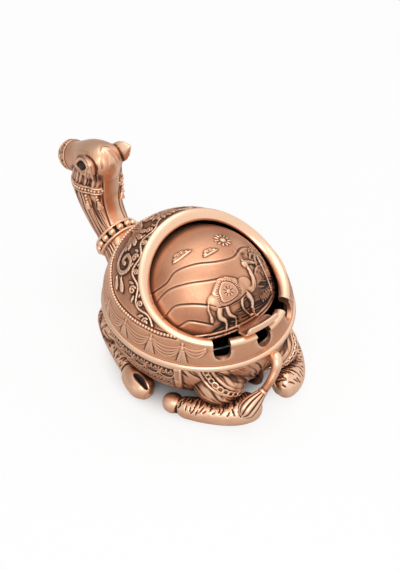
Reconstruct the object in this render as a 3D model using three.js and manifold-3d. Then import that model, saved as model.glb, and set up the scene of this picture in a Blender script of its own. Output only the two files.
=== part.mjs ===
// A covered incense and ash burner shaped like a kneeling camel, cast in copper-coloured metal.
// The body is a deep bowl with the neck, the tail and four folded legs screwed to it.
// The hood stands in the rim of the body and lifts off. A curved lid hangs on two screws inside
// the hood and rolls forward under it. A loose fire bowl stands on the floor of the body.
// Millimetres, +Z up, +Y towards the camel's head, +X towards the camel's right side.
// The origin is on the ground, in the middle of the flat underside of the belly.
import * as THREE from 'three';
import { mergeVertices } from 'three/addons/utils/BufferGeometryUtils.js';
import Module from 'manifold-3d';

const wasm = await Module();
wasm.setup();

// Body: an elliptical bowl, flat underneath
const SEAM_Z = 38;
const BODY_HALF_X = 48;
const BODY_HALF_Y = 52.2;
const BELLY_DEPTH = 41.5;
const BELLY_POWER = 2.4;
const BODY_WALL = 3;
const FLOOR_WALL = 4;
const RIM_BEAD = 1.6;
const BODY_SIDES = 36;
const BELLY_LEVELS = [0, 0.04, 0.13, 0.26, 0.45, 0.66, 0.89];

// Clearances
const SEAT_GAP = 0.3;
const RUNNING_GAP = 0.4;

// Hood: a dome that leans towards the head, on a locating lip inside the rim
const HOOD_INSET = 0.2;
const HOOD_RISE = 47;
const HOOD_BAND = 3;
const HOOD_POWER = 1.67;
const HOOD_LEAN = 5;
const HOOD_WALL = 2.2;
const LIP_DEPTH = 2.5;
const LIP_WALL = 1.6;
const LIP_FLANGE = 2;
const HOOD_LEVELS = [0, 0.13, 0.27, 0.43, 0.58, 0.73, 0.86, 0.95, 0.995];

// Smooth ring round the opening of the hood, given by the heights and places of its outer edge
const RING_SIDE_INSET = 8.1;
const RING_REAR_INSET = 1.8;
const RING_TOP_Y = 18.4;
const RING_REAR_RISE = 11.6;
const RING_SIDE_RISE = 20.6;
const RING_TOP_DROP = 2.6;
const RING_BAND = 4.9;
const RING_BULGE = 1;
const RING_THICK = 2.2;
const RING_STEPS = 36;

// Three open rests in the rear of the ring
const REST_WIDTH = 8.8;
const REST_FLOOR_RISE = 3.7;
const REST_ANGLE = 26.5;

// Lid: part of a sphere between two great circles, with an ear on each end of its axis
const PIVOT_Y = -1.5;
const PIVOT_RISE = 1;
const LID_SIDE_ROOM = 8.4;
const LID_RADIUS = BODY_HALF_X - LID_SIDE_ROOM;
const LID_WALL = 1.6;
const LID_EDGE_ANGLE = 16;
const LID_HIDDEN_ANGLE = 122;
const EAR_RADIUS = 5.5;
const EAR_THICK = 2;
const LID_SIDES = 36;

// Thumb tab, riveted to the lid's lower edge
const TAB_THICK = 1.2;
const TAB_HALF_WIDTH = 12.5;
const TONGUE_HALF_WIDTH = 7.5;
const TONGUE_TOP_ANGLE = 26;
const TAB_LIP_RISE = 5.4;
const RIVET_ANGLE = 22;
const RIVET_X = 4.6;
const RIVET_RADIUS = 0.9;
const RIVET_HEAD_RADIUS = 1.7;

// Screws and washers
const PIVOT_SCREW_RADIUS = 1.5;
const PIVOT_HEAD_RADIUS = 2.8;
const PIVOT_HEAD_HEIGHT = 1.8;
const WASHER_RADIUS = 4;
const WASHER_THICK = 0.8;
const BOSS_RADIUS = 3.6;
const BOSS_END_WALL = 0.8;
const BODY_SCREW_RADIUS = 1.25;
const BODY_SCREW_HEAD = 2.4;
const SCREW_HEAD_HEIGHT = 1.8;
const SCREW_SINK = 0.8;
const SLOT_WIDTH = 0.7;

// Loose fire bowl
const BOWL_RADIUS = 33;
const BOWL_FOOT_RADIUS = 20;
const BOWL_HEIGHT = 28.5;
const BOWL_WALL = 1.2;
const BOWL_BEAD = 1;

// Legs, given for the left side; the right side is mirrored
const HOOF_HALF_HEIGHT = 6.5;
const HIND_SCREW = { x: BODY_HALF_X - 28, y: 6.2 - BODY_HALF_Y, top: 16 };
const FORE_SCREW = { x: BODY_HALF_X - 22, y: BODY_HALF_Y - 14.2, top: 15 };

// Muscles over the legs, placed inwards from the body's side and end
const THIGH = { inX: 29, inY: 14.2, z: 19, half: [13, 13.8, 13] };
const SHOULDER = { inX: 21, inY: 22.2, z: 13, half: [12.5, 13.8, 8.5] };

// Neck, collar and tail
const COLLAR_WIDTH = 7;
const COLLAR_RADIUS = 12;
const COLLAR_STRETCH = 1.1;
const COLLAR_RIM = 0.9;
const COLLAR_PLACE = { y: BODY_HALF_Y + 17.7, z: 35.7, tilt: 25 };
const NECK_SCREW_Z = 26;
const NECK_SCREW_LENGTH = 13;
const TAIL_SCREW = { x: 4, z: 32 };
const TAIL_SCREW_LENGTH = 7;
const NECK_PAD_RADIUS = 5;
const TAIL_PAD_RADIUS = 3.2;

// How far a cut runs on past what it cuts
const OVERRUN = 8;

const RAD = Math.PI / 180;
const lidCentre = new THREE.Vector3(0, PIVOT_Y, SEAM_Z + PIVOT_RISE);
const X_AXIS = new THREE.Vector3(1, 0, 0);
const Z_AXIS = new THREE.Vector3(0, 0, 1);

const copper = { color: 0xc07d58, roughness: 0.4, metalness: 1 };
const steel = { color: 0xb9b9b4, roughness: 0.35, metalness: 1 };

// Turns a geometry into a solid whose faces point out
function solid(geometry) {
  geometry.deleteAttribute('normal');
  geometry.deleteAttribute('uv');
  const merged = mergeVertices(geometry, 1e-4);
  const points = Float32Array.from(merged.attributes.position.array);
  const faces = Uint32Array.from(merged.index.array);
  if (signedVolume(points, faces) < 0) {
    for (let i = 0; i < faces.length; i += 3) {
      [faces[i], faces[i + 1]] = [faces[i + 1], faces[i]];
    }
  }
  return new wasm.Manifold(new wasm.Mesh({ numProp: 3, vertProperties: points, triVerts: faces }));
}

function signedVolume(points, faces) {
  const corners = [new THREE.Vector3(), new THREE.Vector3(), new THREE.Vector3()];
  let sum = 0;
  for (let i = 0; i < faces.length; i += 3) {
    corners.forEach((corner, k) => corner.fromArray(points, 3 * faces[i + k]));
    sum += corners[0].dot(corners[1].clone().cross(corners[2])) / 6;
  }
  return sum;
}

function geometryOf(body) {
  const mesh = body.getMesh();
  const geometry = new THREE.BufferGeometry();
  geometry.setAttribute('position', new THREE.BufferAttribute(Float32Array.from(mesh.vertProperties), 3));
  geometry.setIndex(new THREE.BufferAttribute(Uint32Array.from(mesh.triVerts), 1));
  geometry.computeVertexNormals();
  return geometry;
}

// Joins rings of points, all with the same count, into a closed surface.
// The caps are fans round each end ring's middle, or the given triangles of an end ring.
function loft(rings, capFaces = null) {
  const count = rings[0].length;
  const points = rings.flat();
  const faces = [];
  for (let r = 0; r + 1 < rings.length; r++) {
    for (let k = 0; k < count; k++) {
      const a = r * count + k;
      const b = r * count + (k + 1) % count;
      faces.push(a, b, b + count, a, b + count, a + count);
    }
  }
  const last = (rings.length - 1) * count;
  if (capFaces) {
    for (const [a, b, c] of capFaces) {
      faces.push(c, b, a, last + a, last + b, last + c);
    }
  } else {
    for (const [start, flip] of [[0, true], [last, false]]) {
      const middle = new THREE.Vector3();
      for (let k = 0; k < count; k++) middle.add(points[start + k]);
      points.push(middle.divideScalar(count));
      for (let k = 0; k < count; k++) {
        const edge = [start + k, start + (k + 1) % count];
        if (flip) edge.reverse();
        faces.push(edge[0], edge[1], points.length - 1);
      }
    }
  }
  const geometry = new THREE.BufferGeometry().setFromPoints(points);
  geometry.setIndex(faces);
  return geometry;
}

// Triangles that fill an outline, running the same way round as the outline
function capTriangles(outline) {
  const turn = THREE.ShapeUtils.area(outline);
  return THREE.ShapeUtils.triangulateShape(outline, []).map(([a, b, c]) => {
    const own = THREE.ShapeUtils.area([outline[a], outline[b], outline[c]]);
    return own * turn < 0 ? [c, b, a] : [a, b, c];
  });
}

// A ring of points in the plane of the vectors u and v
function ovalRing(centre, u, v, halfU, halfV, sides) {
  const ring = [];
  for (let k = 0; k < sides; k++) {
    const turn = 2 * Math.PI * k / sides;
    const point = centre.clone();
    point.addScaledVector(u, halfU * Math.cos(turn));
    point.addScaledVector(v, halfV * Math.sin(turn));
    ring.push(point);
  }
  return ring;
}

// A limb through stations [x, y, z, half width, half height], its width along X at the start
function limb(stations, sides, grow = 0) {
  const centres = stations.map(([x, y, z]) => new THREE.Vector3(x, y, z));
  const side = X_AXIS.clone();
  const rings = stations.map(([, , , wide, high], i) => {
    const before = centres[Math.max(i - 1, 0)];
    const after = centres[Math.min(i + 1, centres.length - 1)];
    const along = after.clone().sub(before).normalize();
    side.addScaledVector(along, -side.dot(along)).normalize();
    const up = along.clone().cross(side);
    return ovalRing(centres[i], side.clone(), up, wide + grow, high + grow, sides);
  });
  return solid(loft(rings));
}

function ellipsoid(centre, half, turns = 14, bands = 9) {
  const geometry = new THREE.SphereGeometry(1, turns, bands);
  geometry.rotateX(Math.PI / 2).scale(...half).translate(...centre);
  return solid(geometry);
}

function box(low, high) {
  const size = high.map((value, i) => value - low[i]);
  const geometry = new THREE.BoxGeometry(...size);
  geometry.translate(...low.map((value, i) => value + size[i] / 2));
  return solid(geometry);
}

// A solid turned about Z from a profile of [radius, height] pairs
function turned(profile, sides) {
  const geometry = new THREE.LatheGeometry(profile.map(([r, z]) => new THREE.Vector2(r, z)), sides);
  return solid(geometry.rotateX(Math.PI / 2));
}

// Everything below the table top
function underGround() {
  const reach = 4 * BODY_HALF_Y;
  return box([-reach, -reach, -BODY_HALF_Y], [reach, reach, 0]);
}

function rod(radius, from, to, sides = 12) {
  const along = to.clone().sub(from);
  const geometry = new THREE.CylinderGeometry(radius, radius, along.length(), sides);
  geometry.rotateX(Math.PI / 2);
  geometry.applyQuaternion(new THREE.Quaternion().setFromUnitVectors(Z_AXIS, along.clone().normalize()));
  geometry.translate(...from.clone().addScaledVector(along, 0.5));
  return solid(geometry);
}

// Screw with its head from 0 to the head's height and its shank above, slotted underneath
function screwSolid(shankRadius, headRadius, headHeight, length) {
  const body = turned([
    [0, 0], [headRadius * 0.8, 0], [headRadius, headHeight * 0.5], [headRadius, headHeight],
    [shankRadius, headHeight], [shankRadius, headHeight + length], [0, headHeight + length],
  ], 14);
  const half = SLOT_WIDTH / 2;
  const slot = box([-headRadius * 2, -half, -1], [headRadius * 2, half, headHeight * 0.4]);
  return body.subtract(slot);
}

function mirrored(body) {
  return body.mirror([1, 0, 0]);
}

// Share of the body's width that is left at a height
function bellyShare(z) {
  const depth = Math.min((SEAM_Z - z) / BELLY_DEPTH, 1);
  return Math.pow(1 - Math.pow(depth, BELLY_POWER), 1 / BELLY_POWER);
}

function bodyRing(z, share, offset) {
  const centre = new THREE.Vector3(0, 0, z);
  const along = new THREE.Vector3(0, 1, 0);
  const halfX = BODY_HALF_X * share + offset;
  const halfY = BODY_HALF_Y * share + offset;
  return ovalRing(centre, X_AXIS, along, halfX, halfY, BODY_SIDES);
}

// The bowl alone, grown by a clearance
function bellySolid(grow) {
  const rings = BELLY_LEVELS.map((part) => bodyRing(SEAM_Z * part, bellyShare(SEAM_Z * part), grow));
  rings[0] = bodyRing(-grow, bellyShare(0), grow);
  rings.push(bodyRing(SEAM_Z - 3, 1, RIM_BEAD * 0.5 + grow));
  rings.push(bodyRing(SEAM_Z - 2.2, 1, RIM_BEAD + grow));
  rings.push(bodyRing(SEAM_Z - 0.9, 1, RIM_BEAD + grow));
  rings.push(bodyRing(SEAM_Z, 1, RIM_BEAD * 0.5 + grow));
  return solid(loft(rings));
}

// Thigh and shoulder muscles stand out from the bowl over the folded legs
function bodyOutside(grow) {
  let body = bellySolid(grow);
  for (const [{ inX, inY, z, half }, end] of [[THIGH, -1], [SHOULDER, 1]]) {
    const middle = [inX - BODY_HALF_X, end * (BODY_HALF_Y - inY), z];
    const muscle = ellipsoid(middle, half.map((reach) => reach + grow));
    body = body.add(muscle).add(mirrored(muscle));
  }
  return body;
}

function bodyCavity() {
  const rings = BELLY_LEVELS.map((part) => {
    const z = FLOOR_WALL + (SEAM_Z - FLOOR_WALL) * part;
    return bodyRing(z, bellyShare(z), -BODY_WALL);
  });
  rings.push(bodyRing(SEAM_Z + 1, 1, -BODY_WALL));
  return solid(loft(rings));
}

function legScrewHole({ x, y, top }) {
  const radius = BODY_SCREW_RADIUS + SEAT_GAP;
  return rod(radius, new THREE.Vector3(-x, y, -OVERRUN), new THREE.Vector3(-x, y, top + SEAT_GAP));
}

function neckScrewHole(radius) {
  const from = new THREE.Vector3(0, neckSeatY() - OVERRUN, NECK_SCREW_Z);
  const to = new THREE.Vector3(0, neckSeatY() + NECK_SCREW_LENGTH + SEAT_GAP, NECK_SCREW_Z);
  return rod(radius + SEAT_GAP, from, to);
}

function tailScrewHole() {
  const from = new THREE.Vector3(TAIL_SCREW.x, tailSeatY() + OVERRUN, TAIL_SCREW.z);
  const to = new THREE.Vector3(TAIL_SCREW.x, tailSeatY() - TAIL_SCREW_LENGTH - SEAT_GAP, TAIL_SCREW.z);
  return rod(BODY_SCREW_RADIUS + SEAT_GAP, from, to);
}

// Flat pads inside the body's wall, where the neck's and the tail's screws seat
function padDepth(z, radius) {
  return BODY_HALF_Y * bellyShare(z - radius) - BODY_WALL - SEAT_GAP;
}

function neckSeatY() {
  return padDepth(NECK_SCREW_Z, NECK_PAD_RADIUS);
}

function tailSeatY() {
  return -padDepth(TAIL_SCREW.z, TAIL_PAD_RADIUS);
}

function screwPads() {
  const intoWall = BODY_WALL / 2;
  const neckPad = rod(
    NECK_PAD_RADIUS,
    new THREE.Vector3(0, neckSeatY(), NECK_SCREW_Z),
    new THREE.Vector3(0, neckSeatY() + intoWall, NECK_SCREW_Z),
  );
  const tailPad = rod(
    TAIL_PAD_RADIUS,
    new THREE.Vector3(TAIL_SCREW.x, tailSeatY() - intoWall, TAIL_SCREW.z),
    new THREE.Vector3(TAIL_SCREW.x, tailSeatY(), TAIL_SCREW.z),
  );
  return neckPad.add(tailPad);
}

function bodyShell() {
  let body = bodyOutside(0).subtract(bodyCavity()).subtract(underGround()).add(screwPads());
  const drilled = [legScrewHole(HIND_SCREW), legScrewHole(FORE_SCREW)];
  for (const hole of drilled) {
    body = body.subtract(hole).subtract(mirrored(hole));
  }
  return body.subtract(neckScrewHole(BODY_SCREW_RADIUS)).subtract(tailScrewHole());
}

// Moves leg stations, given inwards from the body's left side and from its end, to their place
function legStations(end, stations) {
  return stations.map(([inX, inY, ...rest]) => [inX - BODY_HALF_X, end * (BODY_HALF_Y - inY), ...rest]);
}

// Moves stations, given outwards from the body's end, to their place
function fromEnd(end, stations) {
  return stations.map(([x, out, ...rest]) => [x, end * (BODY_HALF_Y + out), ...rest]);
}

// Folded hind leg: hoof, groove, shank and hock, flat on the ground
function hindLimb(grow) {
  const h = HOOF_HALF_HEIGHT;
  return limb(legStations(-1, [
    [7, 33.2, h - 1, 1.5, 1.5], [7.4, 31.9, h - 0.6, 4.5, 4.5], [8.2, 29.6, h - 0.2, 6.6, 6],
    [9.3, 26.2, h, 7.2, h + 0.3], [10.6, 22, h, 6.6, h], [12, 19.2, h - 0.6, 5, 5.2],
    [13.7, 16.6, h, 6.4, 6.6], [18.4, 11, h + 0.6, 7.2, 7.4], [25, 3.8, h + 1.2, 7.8, 8],
    [31.2, -0.4, h + 1.8, 8.4, 8.6], [37, -1.8, h + 2, 7.4, 7.6], [40.6, -2, h + 2, 3.5, 3.5],
  ]), 10, grow);
}

function hindLeg() {
  return finishedLeg(hindLimb(0), HIND_SCREW);
}

// Folded fore leg: knee in front, shank along the flank, oval hoof to the rear
function foreLeg() {
  const h = HOOF_HALF_HEIGHT;
  const leg = limb(legStations(1, [
    [26.5, 1.8, h, 3, 3], [25.6, 3.6, h + 0.6, 6.4, 6.6], [23.6, 7.6, h + 1, 8.4, 8],
    [20.2, 14.2, h + 0.8, 8.6, 8], [15.6, 23.8, h + 0.5, 7.8, 7.4], [10.4, 38.6, h, 6.8, 6.8],
    [7, 45.6, h - 0.6, 5.4, 5.4], [5.6, 49.6, h, 6.8, 6.6], [4, 55.7, h, 7.4, h + 0.3],
    [3, 61.2, h - 0.3, 6.6, 6.2], [2.4, 64.7, h - 0.8, 4.2, 4], [2.2, 66.2, h - 1, 1.5, 1.5],
  ]), 10);
  return finishedLeg(leg, FORE_SCREW);
}

// Cuts a leg flat on the ground, hollows it for the body it seats on and sinks its screw
function finishedLeg(leg, screw) {
  const sinkTop = SCREW_SINK + SCREW_HEAD_HEIGHT + SEAT_GAP;
  const low = new THREE.Vector3(-screw.x, screw.y, -OVERRUN);
  const high = new THREE.Vector3(-screw.x, screw.y, sinkTop);
  const sink = rod(BODY_SCREW_HEAD + SEAT_GAP, low, high, 14);
  const seated = leg.subtract(underGround()).subtract(bodyOutside(SEAT_GAP));
  return seated.subtract(legScrewHole(screw)).subtract(sink);
}

const neckStations = fromEnd(1, [
  [0, -7.2, 22, 13, 11], [0, 1.8, 23, 13.5, 11.5], [0, 9.8, 27.5, 12, 11], [0, 15.3, 33, 10.8, 10.4],
  [0, 19.8, 38.6, 10, 10], [0, 24.8, 44, 10.6, 10.4], [0, 28.8, 49.5, 11.2, 11.2],
  [0, 32.3, 56.5, 12, 13], [0, 34.4, 64, 12.6, 14.4], [0, 34.2, 71, 12.2, 14.2],
  [0, 31.8, 79, 11, 11.5],
]);

function head() {
  return limb(fromEnd(1, [
    [0, 17.3, 83, 3, 3.5], [0, 19.3, 82.8, 7, 7.4], [0, 23, 82.3, 10.6, 10.8],
    [0, 28.2, 81.3, 12.2, 12.4], [0, 35.4, 79.1, 12, 12.2], [0, 41.8, 76.5, 10, 11],
    [0, 48.8, 73.9, 8.4, 9.6], [0, 54.8, 71.9, 8, 9], [0, 59.3, 70.3, 7.6, 8],
    [0, 62.1, 69.3, 5.6, 5.8], [0, 63.3, 68.9, 2.4, 2.6],
  ]), 14);
}

function ear() {
  return limb(fromEnd(1, [
    [-8.5, 26.8, 83.5, 2.4, 2], [-10.5, 25.3, 85, 4, 2.8], [-13, 23.6, 87, 4.6, 3],
    [-15, 22, 88.4, 3.4, 2.4], [-16, 21.2, 89, 1.2, 1],
  ]), 10);
}

function neckAndHead() {
  const neck = limb(neckStations, 12);
  const bare = neck.add(head()).add(ear()).add(mirrored(ear()));
  return bare.subtract(bodyOutside(SEAT_GAP)).subtract(neckScrewHole(BODY_SCREW_RADIUS));
}

// Beaded collar: a band round the neck between two raised rims, oval because it lies aslant
function neckCollar() {
  const profile = [[0, -1], [0, -0.83], [COLLAR_RIM, -0.63], [COLLAR_RIM / 2, -0.57], [-0.2, -0.57]];
  const half = COLLAR_WIDTH / 2;
  const lower = profile.map(([out, along]) => [COLLAR_RADIUS + out, along * half]);
  const upper = lower.map(([radius, along]) => [radius, -along]).reverse();
  const outline = [[0, -half], ...lower, ...upper, [0, half]];
  const geometry = geometryOf(turned(outline, 18));
  geometry.scale(1, COLLAR_STRETCH, 1).rotateX(-(90 - COLLAR_PLACE.tilt) * RAD);
  geometry.translate(0, COLLAR_PLACE.y, COLLAR_PLACE.z);
  const neck = limb(neckStations, 12, SEAT_GAP);
  return solid(geometry).subtract(neck).subtract(bodyOutside(SEAT_GAP));
}

// The tail leaves the rump under the rim, hangs free and swings to the left with its tuft
function tail() {
  const path = fromEnd(-1, [
    [4, -5.2, 31.6, 3.4, 3.4], [4.2, -0.2, 32.4, 3.4, 3.4], [4, 3.2, 33.1, 3.3, 3.3],
    [2.7, 5.8, 32.1, 2.9, 2.9], [0.2, 7.2, 28.6, 2.5, 2.5], [-4.6, 8, 24.8, 2.4, 2.4],
    [-8.5, 8.8, 23, 3.2, 3.2], [-13, 9.3, 21.6, 4.4, 4.2], [-17, 9.3, 20.2, 4.2, 4],
    [-21, 9.3, 17.9, 2.6, 2.6], [-22.6, 9.3, 17, 0.9, 0.9],
  ]);
  const bare = limb(path, 10).subtract(bodyOutside(SEAT_GAP)).subtract(hindLimb(SEAT_GAP));
  return bare.subtract(tailScrewHole());
}

// Hood surface: an upright band, over which the half size shrinks and the middle leans to the head
function hoodRing(rise, inward) {
  const over = Math.max(rise - HOOD_BAND, 0);
  const part = over / (HOOD_RISE - HOOD_BAND - inward);
  const share = Math.max(1 - Math.pow(part, HOOD_POWER), 0) ** (1 / HOOD_POWER);
  const lean = HOOD_LEAN * over / (HOOD_RISE - HOOD_BAND);
  const centre = new THREE.Vector3(0, lean, SEAM_Z + rise);
  const halfX = (BODY_HALF_X + HOOD_INSET - inward) * share;
  const halfY = (BODY_HALF_Y + HOOD_INSET - inward) * share;
  return ovalRing(centre, X_AXIS, new THREE.Vector3(0, 1, 0), halfX, halfY, BODY_SIDES);
}

function hoodDome(inward, firstRise) {
  const domeRise = HOOD_RISE - HOOD_BAND - inward;
  const rings = [hoodRing(firstRise, inward)];
  for (const part of HOOD_LEVELS) {
    rings.push(hoodRing(HOOD_BAND + domeRise * part, inward));
  }
  return solid(loft(rings));
}

// Outer edge of the opening's ring; turn 0 is at the tail
function ringEdge(turn) {
  const rearY = RING_REAR_INSET - BODY_HALF_Y;
  const bend = -2;
  const middleY = (rearY + RING_TOP_Y) / 2 - bend;
  const topRise = HOOD_RISE - RING_TOP_DROP;
  const bothEnds = (RING_REAR_RISE + topRise) / 2;
  const middleRise = (bothEnds + RING_SIDE_RISE) / 2;
  const bendRise = (bothEnds - RING_SIDE_RISE) / 2;
  return new THREE.Vector3(
    (BODY_HALF_X - RING_SIDE_INSET) * Math.sin(turn),
    middleY - (RING_TOP_Y - rearY) / 2 * Math.cos(turn) + bend * Math.cos(2 * turn),
    SEAM_Z + middleRise - (topRise - RING_REAR_RISE) / 2 * Math.cos(turn) + bendRise * Math.cos(2 * turn),
  );
}

function ringInward(turn) {
  const step = 0.01;
  const along = ringEdge(turn + step).sub(ringEdge(turn - step));
  return new THREE.Vector3(-along.y, along.x, 0).normalize();
}

// Keeps a point outside the sphere that the lid turns in
function clearOfLid(point) {
  const reach = LID_RADIUS + 2 * RUNNING_GAP;
  const arm = point.clone().sub(lidCentre);
  if (arm.length() < reach) arm.setLength(reach);
  return arm.add(lidCentre);
}

function openingRing() {
  const rings = [];
  for (let k = 0; k < RING_STEPS; k++) {
    const turn = 2 * Math.PI * k / RING_STEPS;
    const outer = ringEdge(turn);
    const inward = ringInward(turn);
    const drop = 1.6 - 1.1 * Math.cos(turn) + 0.3 * Math.cos(2 * turn);
    const at = (across, up) => outer.clone().addScaledVector(inward, across).addScaledVector(Z_AXIS, up);
    const inner = clearOfLid(at(RING_BAND, -drop));
    rings.push([
      at(-0.7, -0.9), at(-0.2, 0.3), at(RING_BAND * 0.35, RING_BULGE - drop * 0.35),
      at(RING_BAND * 0.7, RING_BULGE * 0.9 - drop * 0.7), inner,
      clearOfLid(inner.clone().add(new THREE.Vector3(0, 0, -RING_THICK))),
      clearOfLid(at(1.2, -1 - RING_THICK)),
    ]);
  }
  return solid(closedLoop(rings));
}

// Joins rings into a loop that closes on itself
function closedLoop(rings) {
  const count = rings[0].length;
  const faces = [];
  for (let r = 0; r < rings.length; r++) {
    const next = (r + 1) % rings.length;
    for (let k = 0; k < count; k++) {
      const side = (k + 1) % count;
      faces.push(r * count + k, r * count + side, next * count + side);
      faces.push(r * count + k, next * count + side, next * count + k);
    }
  }
  const geometry = new THREE.BufferGeometry().setFromPoints(rings.flat());
  geometry.setIndex(faces);
  return geometry;
}

// Cone from inside the body through the ring's outer edge, which opens the hood
function openingCutter() {
  const apex = new THREE.Vector3(0, -8, SEAM_Z - 4);
  const rings = [0.02, 1.8].map((reach) => {
    const ring = [];
    for (let k = 0; k < RING_STEPS; k++) {
      const edge = ringEdge(2 * Math.PI * k / RING_STEPS);
      ring.push(apex.clone().addScaledVector(edge.sub(apex), reach));
    }
    return ring;
  });
  return solid(loft(rings));
}

// A U-shaped rest through the ring and the wall, at an angle from the tail
function restCutter(angle) {
  const half = REST_WIDTH / 2;
  const outline = new THREE.Shape();
  outline.moveTo(half, HOOD_RISE);
  outline.lineTo(-half, HOOD_RISE);
  outline.lineTo(-half, half);
  outline.absarc(0, half, half, Math.PI, 2 * Math.PI, false);
  const start = BODY_HALF_X - 3 * RING_BAND;
  const depth = BODY_HALF_Y + OVERRUN - start;
  const geometry = new THREE.ExtrudeGeometry(outline, { depth, bevelEnabled: false, curveSegments: 10 });
  geometry.rotateX(Math.PI / 2).translate(0, -start, SEAM_Z + REST_FLOOR_RISE).rotateZ(angle * RAD);
  return solid(geometry);
}

// An upright oval sleeve that follows the body's rim at an offset
function rimSleeve(low, high, offset) {
  return solid(loft([bodyRing(low, 1, offset), bodyRing(high, 1, offset)]));
}

// Locating lip: a flange under the dome's wall and a short skirt inside the body's rim
function locatingLip() {
  const outer = -BODY_WALL - SEAT_GAP;
  const top = SEAM_Z + LIP_FLANGE;
  const flange = rimSleeve(SEAM_Z + SEAT_GAP, top, HOOD_INSET - HOOD_WALL);
  const skirt = rimSleeve(SEAM_Z - LIP_DEPTH, top, outer);
  const bore = rimSleeve(SEAM_Z - LIP_DEPTH - 1, top + 1, outer - LIP_WALL);
  return flange.add(skirt).subtract(bore);
}

const earOuterX = LID_RADIUS;
const washerInnerX = earOuterX + SEAT_GAP;
const bossX = washerInnerX + WASHER_THICK + SEAT_GAP;
const pivotHeadX = LID_RADIUS - EAR_THICK - SEAT_GAP - PIVOT_HEAD_HEIGHT;
const bossOuterX = BODY_HALF_X - BODY_WALL - 2 * SEAT_GAP;
const pivotScrewLength = bossOuterX - BOSS_END_WALL - pivotHeadX - PIVOT_HEAD_HEIGHT;

// Boss for the pivot screw, kept off the body's rim below the seam
function pivotBoss() {
  const inner = lidCentre.clone().setX(bossX);
  return rod(BOSS_RADIUS, inner, lidCentre.clone().setX(bossOuterX));
}

function pivotHole() {
  const inner = lidCentre.clone().setX(LID_RADIUS - EAR_THICK - OVERRUN);
  const end = pivotHeadX + PIVOT_HEAD_HEIGHT + pivotScrewLength + SEAT_GAP;
  return rod(PIVOT_SCREW_RADIUS + SEAT_GAP, inner, lidCentre.clone().setX(end));
}

function hoodShell() {
  const dome = hoodDome(0, SEAT_GAP).subtract(hoodDome(HOOD_WALL, SEAT_GAP - 1));
  let hood = dome.subtract(openingCutter()).add(openingRing()).add(locatingLip());
  const boss = pivotBoss();
  hood = hood.add(boss).add(mirrored(boss));
  for (const angle of [-REST_ANGLE, 0, REST_ANGLE]) {
    hood = hood.subtract(restCutter(angle));
  }
  const hole = pivotHole();
  return hood.subtract(hole).subtract(mirrored(hole));
}

function rollingLid() {
  const sphere = (radius) => {
    return ellipsoid(lidCentre.toArray(), [radius, radius, radius], LID_SIDES, LID_SIDES / 2);
  };
  const wedge = new THREE.Shape();
  wedge.moveTo(0, 0);
  for (let k = 0; k <= 4; k++) {
    const turn = (LID_EDGE_ANGLE + (LID_HIDDEN_ANGLE - LID_EDGE_ANGLE) * k / 4) * RAD;
    wedge.lineTo(2 * LID_RADIUS * Math.cos(turn), 2 * LID_RADIUS * Math.sin(turn));
  }
  const depth = 2 * (LID_RADIUS + OVERRUN);
  const slice = new THREE.ExtrudeGeometry(wedge, { depth, bevelEnabled: false });
  slice.translate(0, 0, -depth / 2);
  const turnIntoPlace = new THREE.Matrix4().makeBasis(
    new THREE.Vector3(0, -1, 0), Z_AXIS, new THREE.Vector3(-1, 0, 0),
  );
  slice.applyMatrix4(turnIntoPlace).translate(...lidCentre);
  const shell = sphere(LID_RADIUS).subtract(sphere(LID_RADIUS - LID_WALL)).intersect(solid(slice));
  const earInner = lidCentre.clone().setX(LID_RADIUS - EAR_THICK);
  const lidEar = rod(EAR_RADIUS, earInner, lidCentre.clone().setX(earOuterX), 20);
  const hole = pivotHole();
  let lid = shell.add(lidEar).add(mirrored(lidEar)).subtract(hole).subtract(mirrored(hole));
  for (const x of [-RIVET_X, RIVET_X]) lid = lid.subtract(rivetHole(x));
  return lid;
}

// A point on a rivet's line, at a distance from the lid's middle
function rivetPoint(x, radius) {
  const flat = Math.sqrt(LID_RADIUS * LID_RADIUS - x * x);
  const turn = RIVET_ANGLE * RAD;
  const arm = new THREE.Vector3(x, -flat * Math.cos(turn), flat * Math.sin(turn));
  return arm.setLength(radius).add(lidCentre);
}

function rivetHole(x) {
  const hole = RIVET_RADIUS + SEAT_GAP;
  return rod(hole, rivetPoint(x, LID_RADIUS - OVERRUN), rivetPoint(x, LID_RADIUS + OVERRUN), 10);
}

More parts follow.
